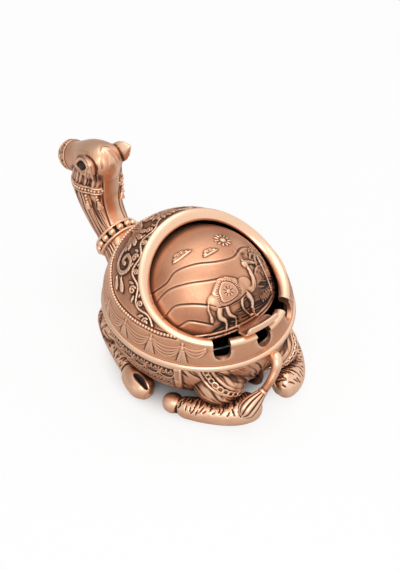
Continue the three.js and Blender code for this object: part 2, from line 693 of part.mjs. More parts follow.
// Tab: a tongue behind the lid's edge, a plate out over the ring and an upturned lip,
// swept round the upright line through the lid's middle
function thumbTab() {
  const face = LID_RADIUS - LID_WALL - SEAT_GAP;
  const back = face - TAB_THICK;
  const flat = (angle, radius) => [
    radius * Math.cos(angle * RAD),
    lidCentre.z + radius * Math.sin(angle * RAD),
  ];
  const ringTop = SEAM_Z + RING_REAR_RISE;
  const ringOut = BODY_HALF_Y - RING_REAR_INSET + PIVOT_Y;
  const edge = flat(LID_EDGE_ANGLE, LID_RADIUS);
  const start = edge[0] + (ringOut - edge[0]) * 0.27;
  const middle = edge[0] + (ringOut - edge[0]) * 0.55;
  const tongueMiddle = (LID_EDGE_ANGLE + TONGUE_TOP_ANGLE) / 2;
  const outline = [
    flat(TONGUE_TOP_ANGLE, back), flat(TONGUE_TOP_ANGLE, face), flat(tongueMiddle, face),
    flat(LID_EDGE_ANGLE, face),
    [edge[0] - 1.6, edge[1] - 1], [edge[0] + 0.5, edge[1] - 0.5], [start, ringTop + 0.8],
    [middle, ringTop + 1.5], [ringOut - 2.4, ringTop + 2.6], [ringOut - 0.8, ringTop + 4.5],
    [ringOut - 0.4, ringTop + 2 + TAB_LIP_RISE], [ringOut + 0.7, ringTop + 2 + TAB_LIP_RISE],
    [ringOut + 0.8, ringTop + 4.4], [ringOut, ringTop + 2.1], [ringOut - 1.9, ringTop + 1.25],
    [middle, ringTop + 0.4], [start, ringTop - 0.4], [edge[0] + 0.5, edge[1] - 1.8],
    [edge[0] - 2.5, edge[1] - 2.2], flat(LID_EDGE_ANGLE, back), flat(tongueMiddle, back),
  ];
  const caps = capTriangles(outline.map(([r, z]) => new THREE.Vector2(r, z)));
  const rings = [];
  for (let k = 0; k <= 6; k++) {
    const turn = (-18 + 6 * k) * RAD;
    rings.push(outline.map(([r, z]) => {
      return new THREE.Vector3(r * Math.sin(turn), PIVOT_Y - r * Math.cos(turn), z);
    }));
  }
  const plan = new THREE.Shape();
  const wide = TAB_HALF_WIDTH;
  const narrow = TONGUE_HALF_WIDTH;
  const neckY = PIVOT_Y - edge[0];
  plan.moveTo(-narrow, 0);
  plan.lineTo(-narrow, neckY - 0.5);
  plan.lineTo(-wide, neckY - 5);
  plan.lineTo(-wide, -BODY_HALF_Y - OVERRUN);
  plan.lineTo(wide, -BODY_HALF_Y - OVERRUN);
  plan.lineTo(wide, neckY - 5);
  plan.lineTo(narrow, neckY - 0.5);
  plan.lineTo(narrow, 0);
  const trim = new THREE.ExtrudeGeometry(plan, { depth: HOOD_RISE, bevelEnabled: false });
  trim.translate(0, 0, SEAM_Z);
  let tab = solid(loft(rings, caps)).intersect(solid(trim));
  for (const x of [-RIVET_X, RIVET_X]) tab = tab.subtract(rivetHole(x));
  return tab;
}

function fireBowl() {
  const foot = FLOOR_WALL + SEAT_GAP;
  const top = foot + BOWL_HEIGHT;
  const shares = [[0, 0], [0.05, 0.22], [0.35, 0.6], [0.7, 0.88], [0.95, 1]];
  const reach = BOWL_RADIUS - BOWL_FOOT_RADIUS - BOWL_BEAD;
  const outside = shares.map(([up, out]) => [BOWL_FOOT_RADIUS + reach * out, foot + BOWL_HEIGHT * up]);
  const inside = shares.map(([up, out]) => [
    BOWL_FOOT_RADIUS + reach * out - BOWL_WALL, Math.max(foot + BOWL_HEIGHT * up, foot + BOWL_WALL),
  ]).reverse();
  const profile = [
    [0, foot], ...outside, [BOWL_RADIUS, top - BOWL_BEAD], [BOWL_RADIUS, top],
    [BOWL_RADIUS - BOWL_BEAD - BOWL_WALL, top], ...inside, [0, foot + BOWL_WALL],
  ];
  const geometry = geometryOf(turned(profile, 28));
  return solid(geometry.translate(0, PIVOT_Y, 0));
}

const burner = new THREE.Group();

function add(name, body, look, parent = burner) {
  const mesh = new THREE.Mesh(geometryOf(body), new THREE.MeshStandardMaterial(look));
  mesh.name = name;
  parent.add(mesh);
  return mesh;
}

// Puts a piece that was made along +Z at a place, pointing along an axis
function addAlong(name, body, look, place, axis) {
  const mesh = add(name, body, look);
  mesh.position.copy(place);
  mesh.quaternion.setFromUnitVectors(Z_AXIS, axis);
  return mesh;
}

add('body_shell', bodyShell(), copper);
add('hind_leg_left', hindLeg(), copper);
add('hind_leg_right', mirrored(hindLeg()), copper);
add('fore_leg_left', foreLeg(), copper);
add('fore_leg_right', mirrored(foreLeg()), copper);
add('neck_and_head', neckAndHead(), copper);
add('neck_collar', neckCollar(), copper);
add('tail', tail(), copper);
add('hood_shell', hoodShell(), copper);
add('rolling_lid', rollingLid(), copper);
add('thumb_tab', thumbTab(), copper);
add('fire_bowl', fireBowl(), steel);

const sides = { left: -1, right: 1 };
for (const [side, sign] of Object.entries(sides)) {
  for (const [leg, screw] of [['hind_leg', HIND_SCREW], ['fore_leg', FORE_SCREW]]) {
    const length = screw.top - SCREW_SINK - SCREW_HEAD_HEIGHT;
    const body = screwSolid(BODY_SCREW_RADIUS, BODY_SCREW_HEAD, SCREW_HEAD_HEIGHT, length);
    const place = new THREE.Vector3(sign * screw.x, screw.y, SCREW_SINK);
    addAlong(`${leg}_screw_${side}`, body, steel, place, Z_AXIS);
  }
  const outward = new THREE.Vector3(sign, 0, 0);
  const pivotScrew = screwSolid(PIVOT_SCREW_RADIUS, PIVOT_HEAD_RADIUS, PIVOT_HEAD_HEIGHT, pivotScrewLength);
  addAlong(`pivot_screw_${side}`, pivotScrew, steel, lidCentre.clone().setX(sign * pivotHeadX), outward);
  const bore = PIVOT_SCREW_RADIUS + SEAT_GAP;
  const washer = turned([
    [bore, 0], [WASHER_RADIUS, 0], [WASHER_RADIUS, WASHER_THICK], [bore, WASHER_THICK], [bore, 0],
  ], 14);
  addAlong(`pivot_washer_${side}`, washer, steel, lidCentre.clone().setX(sign * washerInnerX), outward);
  const rivet = turned([
    [0, 0], [RIVET_HEAD_RADIUS * 0.6, 0], [RIVET_HEAD_RADIUS, 0.5], [RIVET_HEAD_RADIUS, 0.8],
    [RIVET_RADIUS, 0.8], [RIVET_RADIUS, 0.8 + TAB_THICK + LID_WALL + SEAT_GAP],
    [0, 0.8 + TAB_THICK + LID_WALL + SEAT_GAP],
  ], 12);
  const back = LID_RADIUS - LID_WALL - 2 * SEAT_GAP - TAB_THICK - 0.8;
  const start = rivetPoint(sign * RIVET_X, back);
  addAlong(`tab_rivet_${side}`, rivet, copper, start, start.clone().sub(lidCentre).normalize());
}

const neckScrew = screwSolid(BODY_SCREW_RADIUS, BODY_SCREW_HEAD, SCREW_HEAD_HEIGHT, NECK_SCREW_LENGTH);
const neckHeadY = neckSeatY() - SCREW_HEAD_HEIGHT - 2 * SEAT_GAP - WASHER_THICK;
const neckHead = new THREE.Vector3(0, neckHeadY, NECK_SCREW_Z);
addAlong('neck_screw', neckScrew, steel, neckHead, new THREE.Vector3(0, 1, 0));
const neckWasher = turned([
  [BODY_SCREW_RADIUS + SEAT_GAP, 0], [WASHER_RADIUS, 0], [WASHER_RADIUS, WASHER_THICK],
  [BODY_SCREW_RADIUS + SEAT_GAP, WASHER_THICK], [BODY_SCREW_RADIUS + SEAT_GAP, 0],
], 14);
const washerPlace = new THREE.Vector3(0, neckSeatY() - SEAT_GAP - WASHER_THICK, NECK_SCREW_Z);
addAlong('neck_washer', neckWasher, steel, washerPlace, new THREE.Vector3(0, 1, 0));
const tailScrew = screwSolid(BODY_SCREW_RADIUS, BODY_SCREW_HEAD, SCREW_HEAD_HEIGHT, TAIL_SCREW_LENGTH);
const tailHead = new THREE.Vector3(TAIL_SCREW.x, tailSeatY() + SCREW_HEAD_HEIGHT + SEAT_GAP, TAIL_SCREW.z);
addAlong('tail_screw', tailScrew, steel, tailHead, new THREE.Vector3(0, -1, 0));

export default burner;
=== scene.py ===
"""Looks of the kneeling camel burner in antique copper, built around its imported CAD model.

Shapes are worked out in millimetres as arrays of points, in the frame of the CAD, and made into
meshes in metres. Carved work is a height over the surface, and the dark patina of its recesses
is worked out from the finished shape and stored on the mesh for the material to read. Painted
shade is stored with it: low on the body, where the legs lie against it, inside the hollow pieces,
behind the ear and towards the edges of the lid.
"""
import math

import bpy
import numpy as np
from mathutils import Matrix, Vector
from mathutils.kdtree import KDTree


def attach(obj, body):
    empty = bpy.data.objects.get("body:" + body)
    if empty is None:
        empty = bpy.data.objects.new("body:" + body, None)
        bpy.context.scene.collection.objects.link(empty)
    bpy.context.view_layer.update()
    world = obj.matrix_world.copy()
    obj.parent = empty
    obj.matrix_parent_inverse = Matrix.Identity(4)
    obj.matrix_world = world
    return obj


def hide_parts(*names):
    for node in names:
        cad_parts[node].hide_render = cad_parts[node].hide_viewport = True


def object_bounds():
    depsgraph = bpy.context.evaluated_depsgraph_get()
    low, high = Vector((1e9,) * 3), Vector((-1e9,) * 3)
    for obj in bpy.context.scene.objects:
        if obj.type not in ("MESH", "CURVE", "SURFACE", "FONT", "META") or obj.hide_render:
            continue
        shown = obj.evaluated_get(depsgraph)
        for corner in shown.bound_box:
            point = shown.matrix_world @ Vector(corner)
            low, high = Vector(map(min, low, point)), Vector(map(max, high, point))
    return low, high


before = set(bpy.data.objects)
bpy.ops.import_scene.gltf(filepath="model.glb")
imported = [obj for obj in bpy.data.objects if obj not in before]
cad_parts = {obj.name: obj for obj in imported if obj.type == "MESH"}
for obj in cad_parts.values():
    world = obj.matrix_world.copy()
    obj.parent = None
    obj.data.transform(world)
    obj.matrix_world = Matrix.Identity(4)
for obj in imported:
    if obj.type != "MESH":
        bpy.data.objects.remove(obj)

cad_low, cad_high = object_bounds()

MM = 0.001
COLUMNS = 600           # steps round the body and the hood
DEGREE = 0.873          # length of one degree of turn along the seam
PLAIN_TONE = 0.38       # patina of plain ground
SHARP_ANGLE = 50.0
NOISE_CELLS = 61
FAR_OFF = 999.0         # chart coordinate of what is left uncarved
SIDE = np.array([1.0, 0, 0])

# Body
SEAM_Z = 38.0
BODY_HALF = np.array([48.0, 52.2])
BELLY_DEPTH = 41.5
BELLY_POWER = 2.4
BODY_WALL = 3.0
FLOOR_Z = 4.0
RIM_BEAD = 1.6
BODY_ROWS = 100
BELLY_ROWS = 5
THIGH = ((19.0, -38.0, 19.0), (13.0, 13.8, 13.0))
SHOULDER = ((27.0, 30.0, 13.0), (12.5, 13.8, 8.5))
MUSCLE_BLEND = 2.4

# Hood
HOOD_HALF = np.array([48.2, 52.4])
HOOD_RISE = 47.0
HOOD_BAND = 3.0
HOOD_POWER = 1.67
HOOD_LEAN = 5.0
HOOD_WALL = 2.2
HOOD_FOOT = 0.3
HOOD_ROWS = 116
HOOD_LIP = ((2.0, -4.9), (-2.5, -4.9), (-2.5, -3.3), (0.3, -3.3), (0.3, -0.5))
RING_BAND = 4.9
RING_ROWS = 16
REST_HALF = 4.4
REST_FLOOR = 3.7
REST_ANGLES = (-26.5, 0, 26.5)

# Lid
LID_CENTRE = np.array([0.0, -1.5, 39.0])
LID_RADIUS = 39.6
LID_WALL = 1.6
LID_SINK = 0.45
LID_TAB_ANGLE = 16.0
LID_FOOT_ANGLE = 12.0   # lower than the solid lid's edge, which is at the tab
LID_HIDDEN_ANGLE = 122.0
LID_PLAIN_ANGLE = 112.0     # the relief ends here, under the hood
LID_MIDDLE_ANGLE = 58.5     # middle of what shows of the lid
LID_COLUMNS = 270
LID_ROWS = 300
LID_INNER_ROWS = 30
LID_CLEAR = 40.4
LID_EAR_RADIUS = 5.5
LID_EAR_THICK = 2.0
PIVOT_BORE = 1.8
PIVOT_BORE_REACH = (38.0, 43.6)
PIVOT_BOSS = 3.6
PIVOT_BOSS_REACH = (41.0, 44.4)

# Legs and tail
LEG_AROUND, LEG_SPAN = 120, 16
TAIL_AROUND, TAIL_SPAN = 60, 12
SINK_RADIUS = 2.7
SINK_DEPTH = 2.9

# Collar, an oval ring that lies aslant round the neck
COLLAR_CENTRE = np.array([0.0, 69.9, 35.7])
COLLAR_TILT = math.radians(25)
COLLAR_HALF = (12.0, 13.2)
COLLAR_WIDTH = 7.0
COLLAR_RIM = 0.85
COLLAR_BEADS = 16
COLLAR_BEAD_RADIUS = 2.1

# Other strung beads and links, as spacing and radius
CHAIN_LINKS = (3.05, 1.25)
HOOD_BEADS = (1.78, 0.86)
HALTER_BEADS = (2.05, 0.85)
TASSEL_BEADS = (1.75, 0.9)


def smoothstep(low, high, x):
    t = np.clip((x - low) / (high - low), 0, 1)
    return t * t * (3 - 2 * t)


def plateau(x, foot, top, top_end, foot_end):
    """1 from the top to its end, falling smoothly to 0 at both feet."""
    return smoothstep(foot, top, x) * smoothstep(foot_end, top_end, x)


def hill(x, width):
    """A soft hill, 1 where x is 0."""
    return np.exp(-(x / width) ** 2)


def half_round(x, half):
    """A round ridge of a half width, 1 where x is 0."""
    return np.sqrt(np.clip(1 - (x / half) ** 2, 0, 1))


def smooth_max(a, b, blend):
    room = np.maximum(blend - np.abs(a - b), 0)
    return np.maximum(a, b) + room * room / (4 * blend)


def unit(vectors):
    return vectors / np.linalg.norm(vectors, axis=-1, keepdims=True)


def dots(a, b):
    return np.einsum("ij,ij->i", a, b)


def turns(count):
    """Angles in radians of even steps round a circle."""
    return 2 * np.pi * np.arange(count) / count


def way(angle):
    """A flat direction at an angle in degrees."""
    return np.array([math.cos(math.radians(angle)), math.sin(math.radians(angle))])


def spline(points, per_span):
    """Catmull-Rom curve through rows of numbers."""
    points = np.asarray(points, float)
    last = len(points) - 1
    out = []
    for i in range(last):
        p = [points[min(max(i + k, 0), last)] for k in (-1, 0, 1, 2)]
        for t in np.arange(per_span) / per_span:
            out.append(0.5 * (2 * p[1] + (p[2] - p[0]) * t
                              + (2 * p[0] - 5 * p[1] + 4 * p[2] - p[3]) * t * t
                              + (3 * p[1] - p[0] - 3 * p[2] + p[3]) * t ** 3))
    out.append(points[-1])
    return np.array(out)


def lengths(line):
    """How far along a line each of its points lies."""
    return np.concatenate([[0], np.cumsum(np.linalg.norm(np.diff(line, axis=0), axis=1))])


def nearest(points, samples, chunk=3000):
    """For each point, which sample is nearest and how far off it is."""
    index = np.zeros(len(points), int)
    gap = np.zeros(len(points))
    for k in range(0, len(points), chunk):
        square = ((points[k:k + chunk, None, :] - samples[None]) ** 2).sum(-1)
        index[k:k + chunk] = square.argmin(1)
        gap[k:k + chunk] = np.sqrt(square.min(1))
    return index, gap


def on_left(points):
    """Points with those of the right half mirrored to the left."""
    left = points.copy()
    left[:, 0] = -np.abs(left[:, 0])
    return left


def lattice(u, v, seed):
    """Smooth noise from -1 to 1 over a seeded grid of unit cells."""
    n = NOISE_CELLS
    grid = np.random.default_rng(seed).uniform(-1, 1, (n, n))
    i, j = np.floor(u).astype(int), np.floor(v).astype(int)
    a, b = smoothstep(0, 1, u - i), smoothstep(0, 1, v - j)
    low, high = (grid[i % n, (j + step) % n] * (1 - a) + grid[(i + 1) % n, (j + step) % n] * a
                 for step in (0, 1))
    return low * (1 - b) + high * b


def hair(across, along, seed, width=1.5, length=9.0):
    """Grooves between strands of hair, from 0 to 1, over lengths across and along the strands."""
    bend = 2.0 * lattice(across / 10, along / 12, seed)
    coarse = lattice((across + bend) / width, along / length, seed + 1)
    fine = lattice((across + bend) / width * 1.9, along / length * 1.4, seed + 2)
    return smoothstep(-0.15, 0.75, coarse + 0.45 * fine)


def read(items, name, width, kind=np.float32):
    """A property of a mesh's vertices, loops or triangles, with a row for each of them."""
    values = np.zeros(len(items) * width, kind)
    items.foreach_get(name, values)
    return values.reshape(-1, width)


class Surface:
    """A closed surface as points in millimetres with its faces, and a tone for its patina and painted shade.
    """

    def __init__(self, points, quads, tris=(), tone=None):
        self.points = np.asarray(points, float).reshape(-1, 3)
        self.quads = np.asarray(quads, int).reshape(-1, 4)
        self.tris = np.asarray(tris, int).reshape(-1, 3)
        self.tone = np.zeros(len(self.points)) if tone is None else tone
        a, b, c = self.corners()
        if dots(a, np.cross(b, c)).sum() < 0:
            self.quads = self.quads[:, ::-1]
            self.tris = self.tris[:, ::-1]

    @classmethod
    def grid(cls, rings, wrap_rows=False, fans=False, ladders=False):
        """Rings of points, each closed on itself, with fans or ladders of faces in the end rings."""
        rings = np.asarray(rings)
        rows, cols = rings.shape[:2]
        r = np.arange(rows if wrap_rows else rows - 1)[:, None]
        c = np.arange(cols)[None, :]
        r2 = (r + 1) % rows
        c2 = (c + 1) % cols
        quads = np.stack([r * cols + c, r * cols + c2, r2 * cols + c2, r2 * cols + c], -1).reshape(-1, 4)
        points = rings.reshape(-1, 3)
        tris = []
        end = (rows - 1) * cols
        if fans:
            first, last = len(points), len(points) + 1
            points = np.vstack([points, rings[0].mean(0), rings[-1].mean(0)])
            tris = np.vstack([np.stack([c2[0], c[0], np.full(cols, first)], -1),
                              np.stack([end + c[0], end + c2[0], np.full(cols, last)], -1)])
        if ladders:
            k = np.arange(cols // 2 - 1)
            rungs = np.stack([k, k + 1, cols - 2 - k, cols - 1 - k], -1)
            quads = np.vstack([quads, rungs[:, ::-1], rungs + end])
        return cls(points, quads, tris)

    @classmethod
    def of_mesh(cls, mesh):
        """The triangles of a mesh, in millimetres."""
        mesh.calc_loop_triangles()
        tris = read(mesh.loop_triangles, "vertices", 3, np.int32)
        return cls(read(mesh.vertices, "co", 3) / MM, (), tris)

    def triangles(self):
        q = self.quads
        return np.vstack([q[:, [0, 1, 2]], q[:, [0, 2, 3]], self.tris])

    def corners(self):
        return (self.points[self.triangles()[:, k]] for k in range(3))

    def normals(self):
        t = self.triangles()
        a, b, c = self.corners()
        face = np.cross(b - a, c - a)
        total = np.zeros_like(self.points)
        for axis in range(3):
            for corner in range(3):
                total[:, axis] += np.bincount(t[:, corner], face[:, axis], len(total))
        return total / np.maximum(np.linalg.norm(total, axis=1, keepdims=True), 1e-12)

    def edges(self):
        pairs = [self.quads[:, [k, (k + 1) % 4]] for k in range(4)]
        pairs += [self.tris[:, [k, (k + 1) % 3]] for k in range(3)]
        return np.unique(np.sort(np.vstack(pairs), axis=1), axis=0)

    def smoothed(self, rounds):
        """The points, each moved towards its neighbours a number of times."""
        a, b = self.edges().T
        values = self.points
        size = len(values)
        count = np.maximum(np.bincount(a, minlength=size) + np.bincount(b, minlength=size), 1)
        for _ in range(rounds):
            new = np.empty_like(values)
            for k in range(3):
                new[:, k] = np.bincount(a, values[b, k], size) + np.bincount(b, values[a, k], size)
            values = 0.5 * values + 0.5 * new / count[:, None]
        return values

    def raise_by(self, height):
        self.points = self.points + self.normals() * height[:, None]

    def recess(self):
        """How far each point lies in a recess, about 0 on plain ground and below 0 on ridges."""
        normals = self.normals()
        total = np.zeros(len(self.points))
        for rounds, scale, weight in ((4, 0.05, 0.5), (26, 0.25, 0.6)):
            total += weight * np.tanh(dots(self.smoothed(rounds) - self.points, normals) / scale)
        return total

    def mesh(self, name):
        mesh = bpy.data.meshes.new(name)
        mesh.vertices.add(len(self.points))
        mesh.vertices.foreach_set("co", (self.points * MM).astype(np.float32).ravel())
        loops = np.concatenate([self.quads.ravel(), self.tris.ravel()])
        sizes = np.concatenate([np.full(len(self.quads), 4), np.full(len(self.tris), 3)])
        mesh.loops.add(len(loops))
        mesh.loops.foreach_set("vertex_index", loops.astype(np.int32))
        mesh.polygons.add(len(sizes))
        mesh.polygons.foreach_set("loop_start", (np.cumsum(sizes) - sizes).astype(np.int32))
        mesh.update(calc_edges=True)
        mesh.shade_smooth()
        mesh.set_sharp_from_angle(angle=math.radians(SHARP_ANGLE))
        return mesh


def mirrored(surface):
    return Surface(surface.points * (-1, 1, 1), surface.quads, surface.tris, surface.tone)


def joined(surfaces):
    """Several closed surfaces as one, without growing them together."""
    starts = np.cumsum([0] + [len(s.points) for s in surfaces[:-1]])
    return Surface(np.vstack([s.points for s in surfaces]),
                   np.vstack([s.quads + n for s, n in zip(surfaces, starts)]),
                   np.vstack([s.tris + n for s, n in zip(surfaces, starts)]),
                   np.concatenate([s.tone for s in surfaces]))


class Carving:
    """Relief drawn over a surface in flat or solid coordinates, one row of them for each point."""

    def __init__(self, place, allowed=None):
        self.place = np.asarray(place, float)
        self.allowed = np.ones(len(self.place), bool) if allowed is None else allowed
        self.raised = np.zeros(len(self.place))
        self.sunk = np.zeros(len(self.place))
        self.tone = np.zeros(len(self.place))

    def near(self, line, reach):
        """Points near a line: which they are, how far from it, and how far along it, from 0 to 1."""
        line = np.asarray(line, float)
        low, high = line.min(0) - reach, line.max(0) + reach
        close = self.allowed.copy()
        for axis in range(line.shape[1]):
            close &= (self.place[:, axis] > low[axis]) & (self.place[:, axis] < high[axis])
        at = np.flatnonzero(close)
        spots = self.place[at]
        gap = np.linalg.norm(spots - line[0], axis=1)
        along = np.zeros(len(at))
        spans = len(line) - 1
        for k in range(spans):
            step = line[k + 1] - line[k]
            part = np.clip((spots - line[k]) @ step / max(step @ step, 1e-9), 0, 1)
            own = np.linalg.norm(spots - line[k] - part[:, None] * step, axis=1)
            closer = own < gap
            gap[closer] = own[closer]
            along[closer] = (k + part[closer]) / spans
        return at, gap, along

    def stroke(self, line, half, taper):
        at, gap, along = self.near(line, half)
        width = half * (taper(along) if taper else np.ones(len(at)))
        return at, np.clip(1 - (gap / np.maximum(width, 1e-6)) ** 2, 0, 1)

    def ridge(self, line, half, height, taper=None):
        """Raises a rounded line of a half width."""
        at, shape = self.stroke(line, half, taper)
        self.raised[at] = np.maximum(self.raised[at], height * np.sqrt(shape) * (0.6 + 0.4 * shape))

    def knob(self, spot, half, height):
        self.ridge([spot, spot], half, height)

    def groove(self, line, half, depth, taper=None, tone=0.0):
        """Cuts a rounded line of a half width, through ridges too."""
        at, shape = self.stroke(line, half, taper)
        self.sunk[at] = np.maximum(self.sunk[at], depth * shape)
        self.tone[at] = np.maximum(self.tone[at], tone * shape)

    def heights(self):
        return self.raised - self.sunk


def leaf(along):
    """A half width that starts and ends in a point."""
    return np.sqrt(np.clip(4 * along * (1 - along), 0, 1))


def drop(along):
    """A half width that swells towards the end."""
    return np.sin(np.pi * np.clip(along, 0, 1) ** 1.8) ** 0.7 + 0.12


def fade(along):
    """A half width that thins towards the end."""
    return 1 - 0.7 * along


def curl(centre, start, rounds, radius, end=0.5):
    """A spiral that winds in round a centre from an angle in degrees."""
    part = np.linspace(0, 1, 26)
    angle = math.radians(start) + 2 * np.pi * rounds * part
    reach = radius + (end - radius) * part ** 0.8
    return np.column_stack([centre[0] + reach * np.cos(angle), centre[1] + reach * np.sin(angle)])


def new_object(name, data):
    item = bpy.data.objects.new(name, data)
    bpy.context.scene.collection.objects.link(item)
    return item


def finished_mesh(item):
    """The mesh that an object's modifiers make. The object itself goes."""
    graph = bpy.context.evaluated_depsgraph_get()
    mesh = bpy.data.meshes.new_from_object(item.evaluated_get(graph))
    bpy.data.objects.remove(item)
    return mesh


def add_piece(name, surface, body, *nodes, material=None, slot="copper"):
    """Makes a surface a piece of the model, dark where it is sunk or toned, and with painted shade where its
    tone holds it.
    """
    # Real patina in the recesses, plus the surface's tone, which holds painted shade as well as patina.
    patina_and_shade = np.clip(PLAIN_TONE + 0.5 * surface.recess() + surface.tone, 0, 1)
    mesh = surface.mesh(name)
    layer = mesh.attributes.new("patina_and_shade", "FLOAT", "POINT")
    layer.data.foreach_set("value", patina_and_shade.astype(np.float32))
    mesh.materials.append(material or COPPER)
    piece = new_object(name, mesh)
    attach(piece, body)
    if nodes:
        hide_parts(*nodes)


def carried(values, old, new):
    """Values of old points for new points, each from the nearest old one."""
    tree = KDTree(len(old))
    for index, point in enumerate(old):
        tree.insert(point, index)
    tree.balance()
    return values[[tree.find(point)[1] for point in new]]


def cut(surface, cutters, operation="DIFFERENCE"):
    """The surface less other surfaces, or joined with them. Its tone is carried over."""
    blank, *others = [new_object("blank", s.mesh("blank")) for s in (surface, *cutters)]
    for other in others:
        step = blank.modifiers.new("cut", "BOOLEAN")
        step.operation = operation
        step.solver = "MANIFOLD"
        step.object = other
    found = Surface.of_mesh(finished_mesh(blank))
    if surface.tone.any():
        found.tone = carried(surface.tone, surface.points, found.points)
    for other in others:
        bpy.data.objects.remove(other)
    return found


def remeshed(surfaces, voxel, rounds):
    """Several surfaces grown together into one even skin."""
    apart = joined([Surface(s.points, (), s.triangles()) for s in surfaces])
    item = new_object("blank", apart.mesh("blank"))
    step = item.modifiers.new("skin", "REMESH")
    step.mode = "VOXEL"
    step.voxel_size = voxel * MM
    mesh = finished_mesh(item)
    found = Surface(read(mesh.vertices, "co", 3) / MM, read(mesh.loops, "vertex_index", 1, np.int32))
    found.points = found.smoothed(rounds)
    return found


def lathe(profile, steps):
    """A surface turned about Z from rows of radius and height, the first and last on the axis."""
    turn = turns(steps)
    rings = [np.column_stack([radius * np.cos(turn), radius * np.sin(turn), np.full(steps, height)])
             for radius, height in profile[1:-1]]
    made = Surface.grid(rings, fans=True)
    made.points[-2:] = (0, 0, profile[0][1]), (0, 0, profile[-1][1])
    return made


def turned_towards(surface, start, end):
    """The surface moved from the origin to a start, its Z axis turned towards an end."""
    axis = Vector(end) - Vector(start)
    turn = np.array(Vector((0, 0, 1)).rotation_difference(axis).to_matrix())
    surface.points = surface.points @ turn.T + np.array(start)
    return surface


def rod(radius, start, end, steps=24):
    length = float(np.linalg.norm(np.subtract(end, start)))
    return turned_towards(lathe([(0, 0), (radius, 0), (radius, length), (0, length)], steps), start, end)


def limb(stations, around, per_span):
    """A smooth closed limb through rows of x, y, z, half width and half height."""
    rows = spline(stations, per_span)
    turn = turns(around)
    side = SIDE
    rings = []
    for row, forward in zip(rows, unit(np.gradient(rows[:, :3], axis=0))):
        side = unit(side - forward * side.dot(forward))
        up = np.cross(forward, side)
        rings.append(row[:3] + np.outer(np.cos(turn) * row[3], side) + np.outer(np.sin(turn) * row[4], up))
    return Surface.grid(rings, fans=True)


def limb_chart(points, stations, size):
    """Lengths along and round a limb for points near it."""
    middle = spline(stations, 12)[:, :3]
    index, _ = nearest(points, middle)
    arm = points - middle[index]
    ahead = unit(np.gradient(middle, axis=0))[index]
    turn = np.arctan2(dots(arm, np.cross(ahead, SIDE)), arm[:, 0])
    return lengths(middle)[index] + dots(arm, ahead), turn * size


def ring_chart(surface, stations, around, per_span, size):
    """Lengths along and round a limb for the points of its rings, and the share of its length."""
    far = lengths(spline(stations, per_span)[:, :3])
    index = np.arange(len(surface.points) - 2)
    along = np.append(far[index // around], [far[0], far[-1]])
    turn = np.append(2 * np.pi * (index % around) / around, [0, 0])
    turn = np.where(turn > np.pi * 1.5, turn - 2 * np.pi, turn)
    return along, turn * size, along / far[-1]


# Materials

class Value:
    """An output of a node. Arithmetic on it adds Math nodes."""

    def __init__(self, tree, socket):
        self.tree = tree
        self.socket = socket

    def math(self, operation, *values):
        return node(self.tree, "ShaderNodeMath", {"operation": operation}, dict(enumerate(values)))

    def __add__(self, other):
        return self.math("ADD", self, other)

    def __sub__(self, other):
        return self.math("SUBTRACT", self, other)

    def __rsub__(self, other):
        return self.math("SUBTRACT", other, self)

    def __mul__(self, other):
        return self.math("MULTIPLY", self, other)

    def clamped(self):
        """The value kept between 0 and 1."""
        made = self + 0.0
        made.socket.node.use_clamp = True
        return made


def feed(tree, made, values):
    """Sets inputs of a node, or links them to other nodes."""
    for key, value in values.items():
        if isinstance(value, Value):
            tree.links.new(value.socket, made.inputs[key])
        else:
            made.inputs[key].default_value = value


def node(tree, kind, settings=None, values=None, output=0):
    made = tree.nodes.new(kind)
    for key, value in (settings or {}).items():
        setattr(made, key, value)
    feed(tree, made, values or {})
    return Value(tree, made.outputs[output])


def noise(tree, scale, detail):
    place = node(tree, "ShaderNodeTexCoord", output="Object")
    return node(tree, "ShaderNodeTexNoise", values={"Vector": place, "Scale": scale, "Detail": detail})


def ramp(tree, factor, *stops):
    """A colour for a factor, through stops of a place and a screen colour."""
    made = node(tree, "ShaderNodeValToRGB", values={"Fac": factor})
    elements = made.socket.node.color_ramp.elements
    elements.remove(elements[-1])
    elements[0].position = stops[0][0]
    for k, (place, *screen) in enumerate(stops):
        linear = [v / 12.92 if v <= 0.04045 else ((v + 0.055) / 1.055) ** 2.4 for v in screen]
        element = elements.new(place) if k else elements[0]
        element.color = (*linear, 1.0)
    return made


def new_material(name):
    material = bpy.data.materials.new(name)
    material.use_nodes = True
    return material, material.node_tree


def antique_copper():
    """Satin copper, polished on its ridges and dark with patina in its recesses, and darker where painted
    shade is stored with the patina.
    """
    material, tree = new_material("antique_copper")
    # The stored value holds both patina and painted shade.
    patina_and_shade = node(tree, "ShaderNodeAttribute", {"attribute_name": "patina_and_shade"}, output="Fac")
    cloud = noise(tree, 70.0, 4.0)
    grain = noise(tree, 900.0, 3.0)
    level = (patina_and_shade + (cloud - 0.5) * 0.16 + (grain - 0.5) * 0.08).clamped()
    feed(tree, tree.nodes["Principled BSDF"], {
        "Base Color": ramp(tree, level, (0.0, 0.96, 0.80, 0.68), (0.30, 0.86, 0.64, 0.51),
                           (0.46, 0.72, 0.49, 0.37), (0.62, 0.48, 0.32, 0.24),
                           (0.80, 0.27, 0.18, 0.14), (1.0, 0.12, 0.09, 0.07)),
        "Roughness": (level * 0.30 + (grain - 0.5) * 0.1 + 0.30).clamped(),
        "Metallic": (1.1 - level * 0.6).clamped(),
        "Normal": node(tree, "ShaderNodeBump",
                       values={"Height": grain, "Strength": 0.10, "Distance": 0.0002}),
    })
    return material


def plain_steel():
    material, tree = new_material("plain_steel")
    cloud = noise(tree, 260.0, 5.0)
    feed(tree, tree.nodes["Principled BSDF"], {
        "Base Color": ramp(tree, cloud, (0.3, 0.60, 0.59, 0.56), (0.7, 0.76, 0.75, 0.72)),
        "Roughness": cloud * 0.2 + 0.28,
        "Metallic": 1.0,
    })
    return material


COPPER = antique_copper()
STEEL = plain_steel()


# What is strung along a line

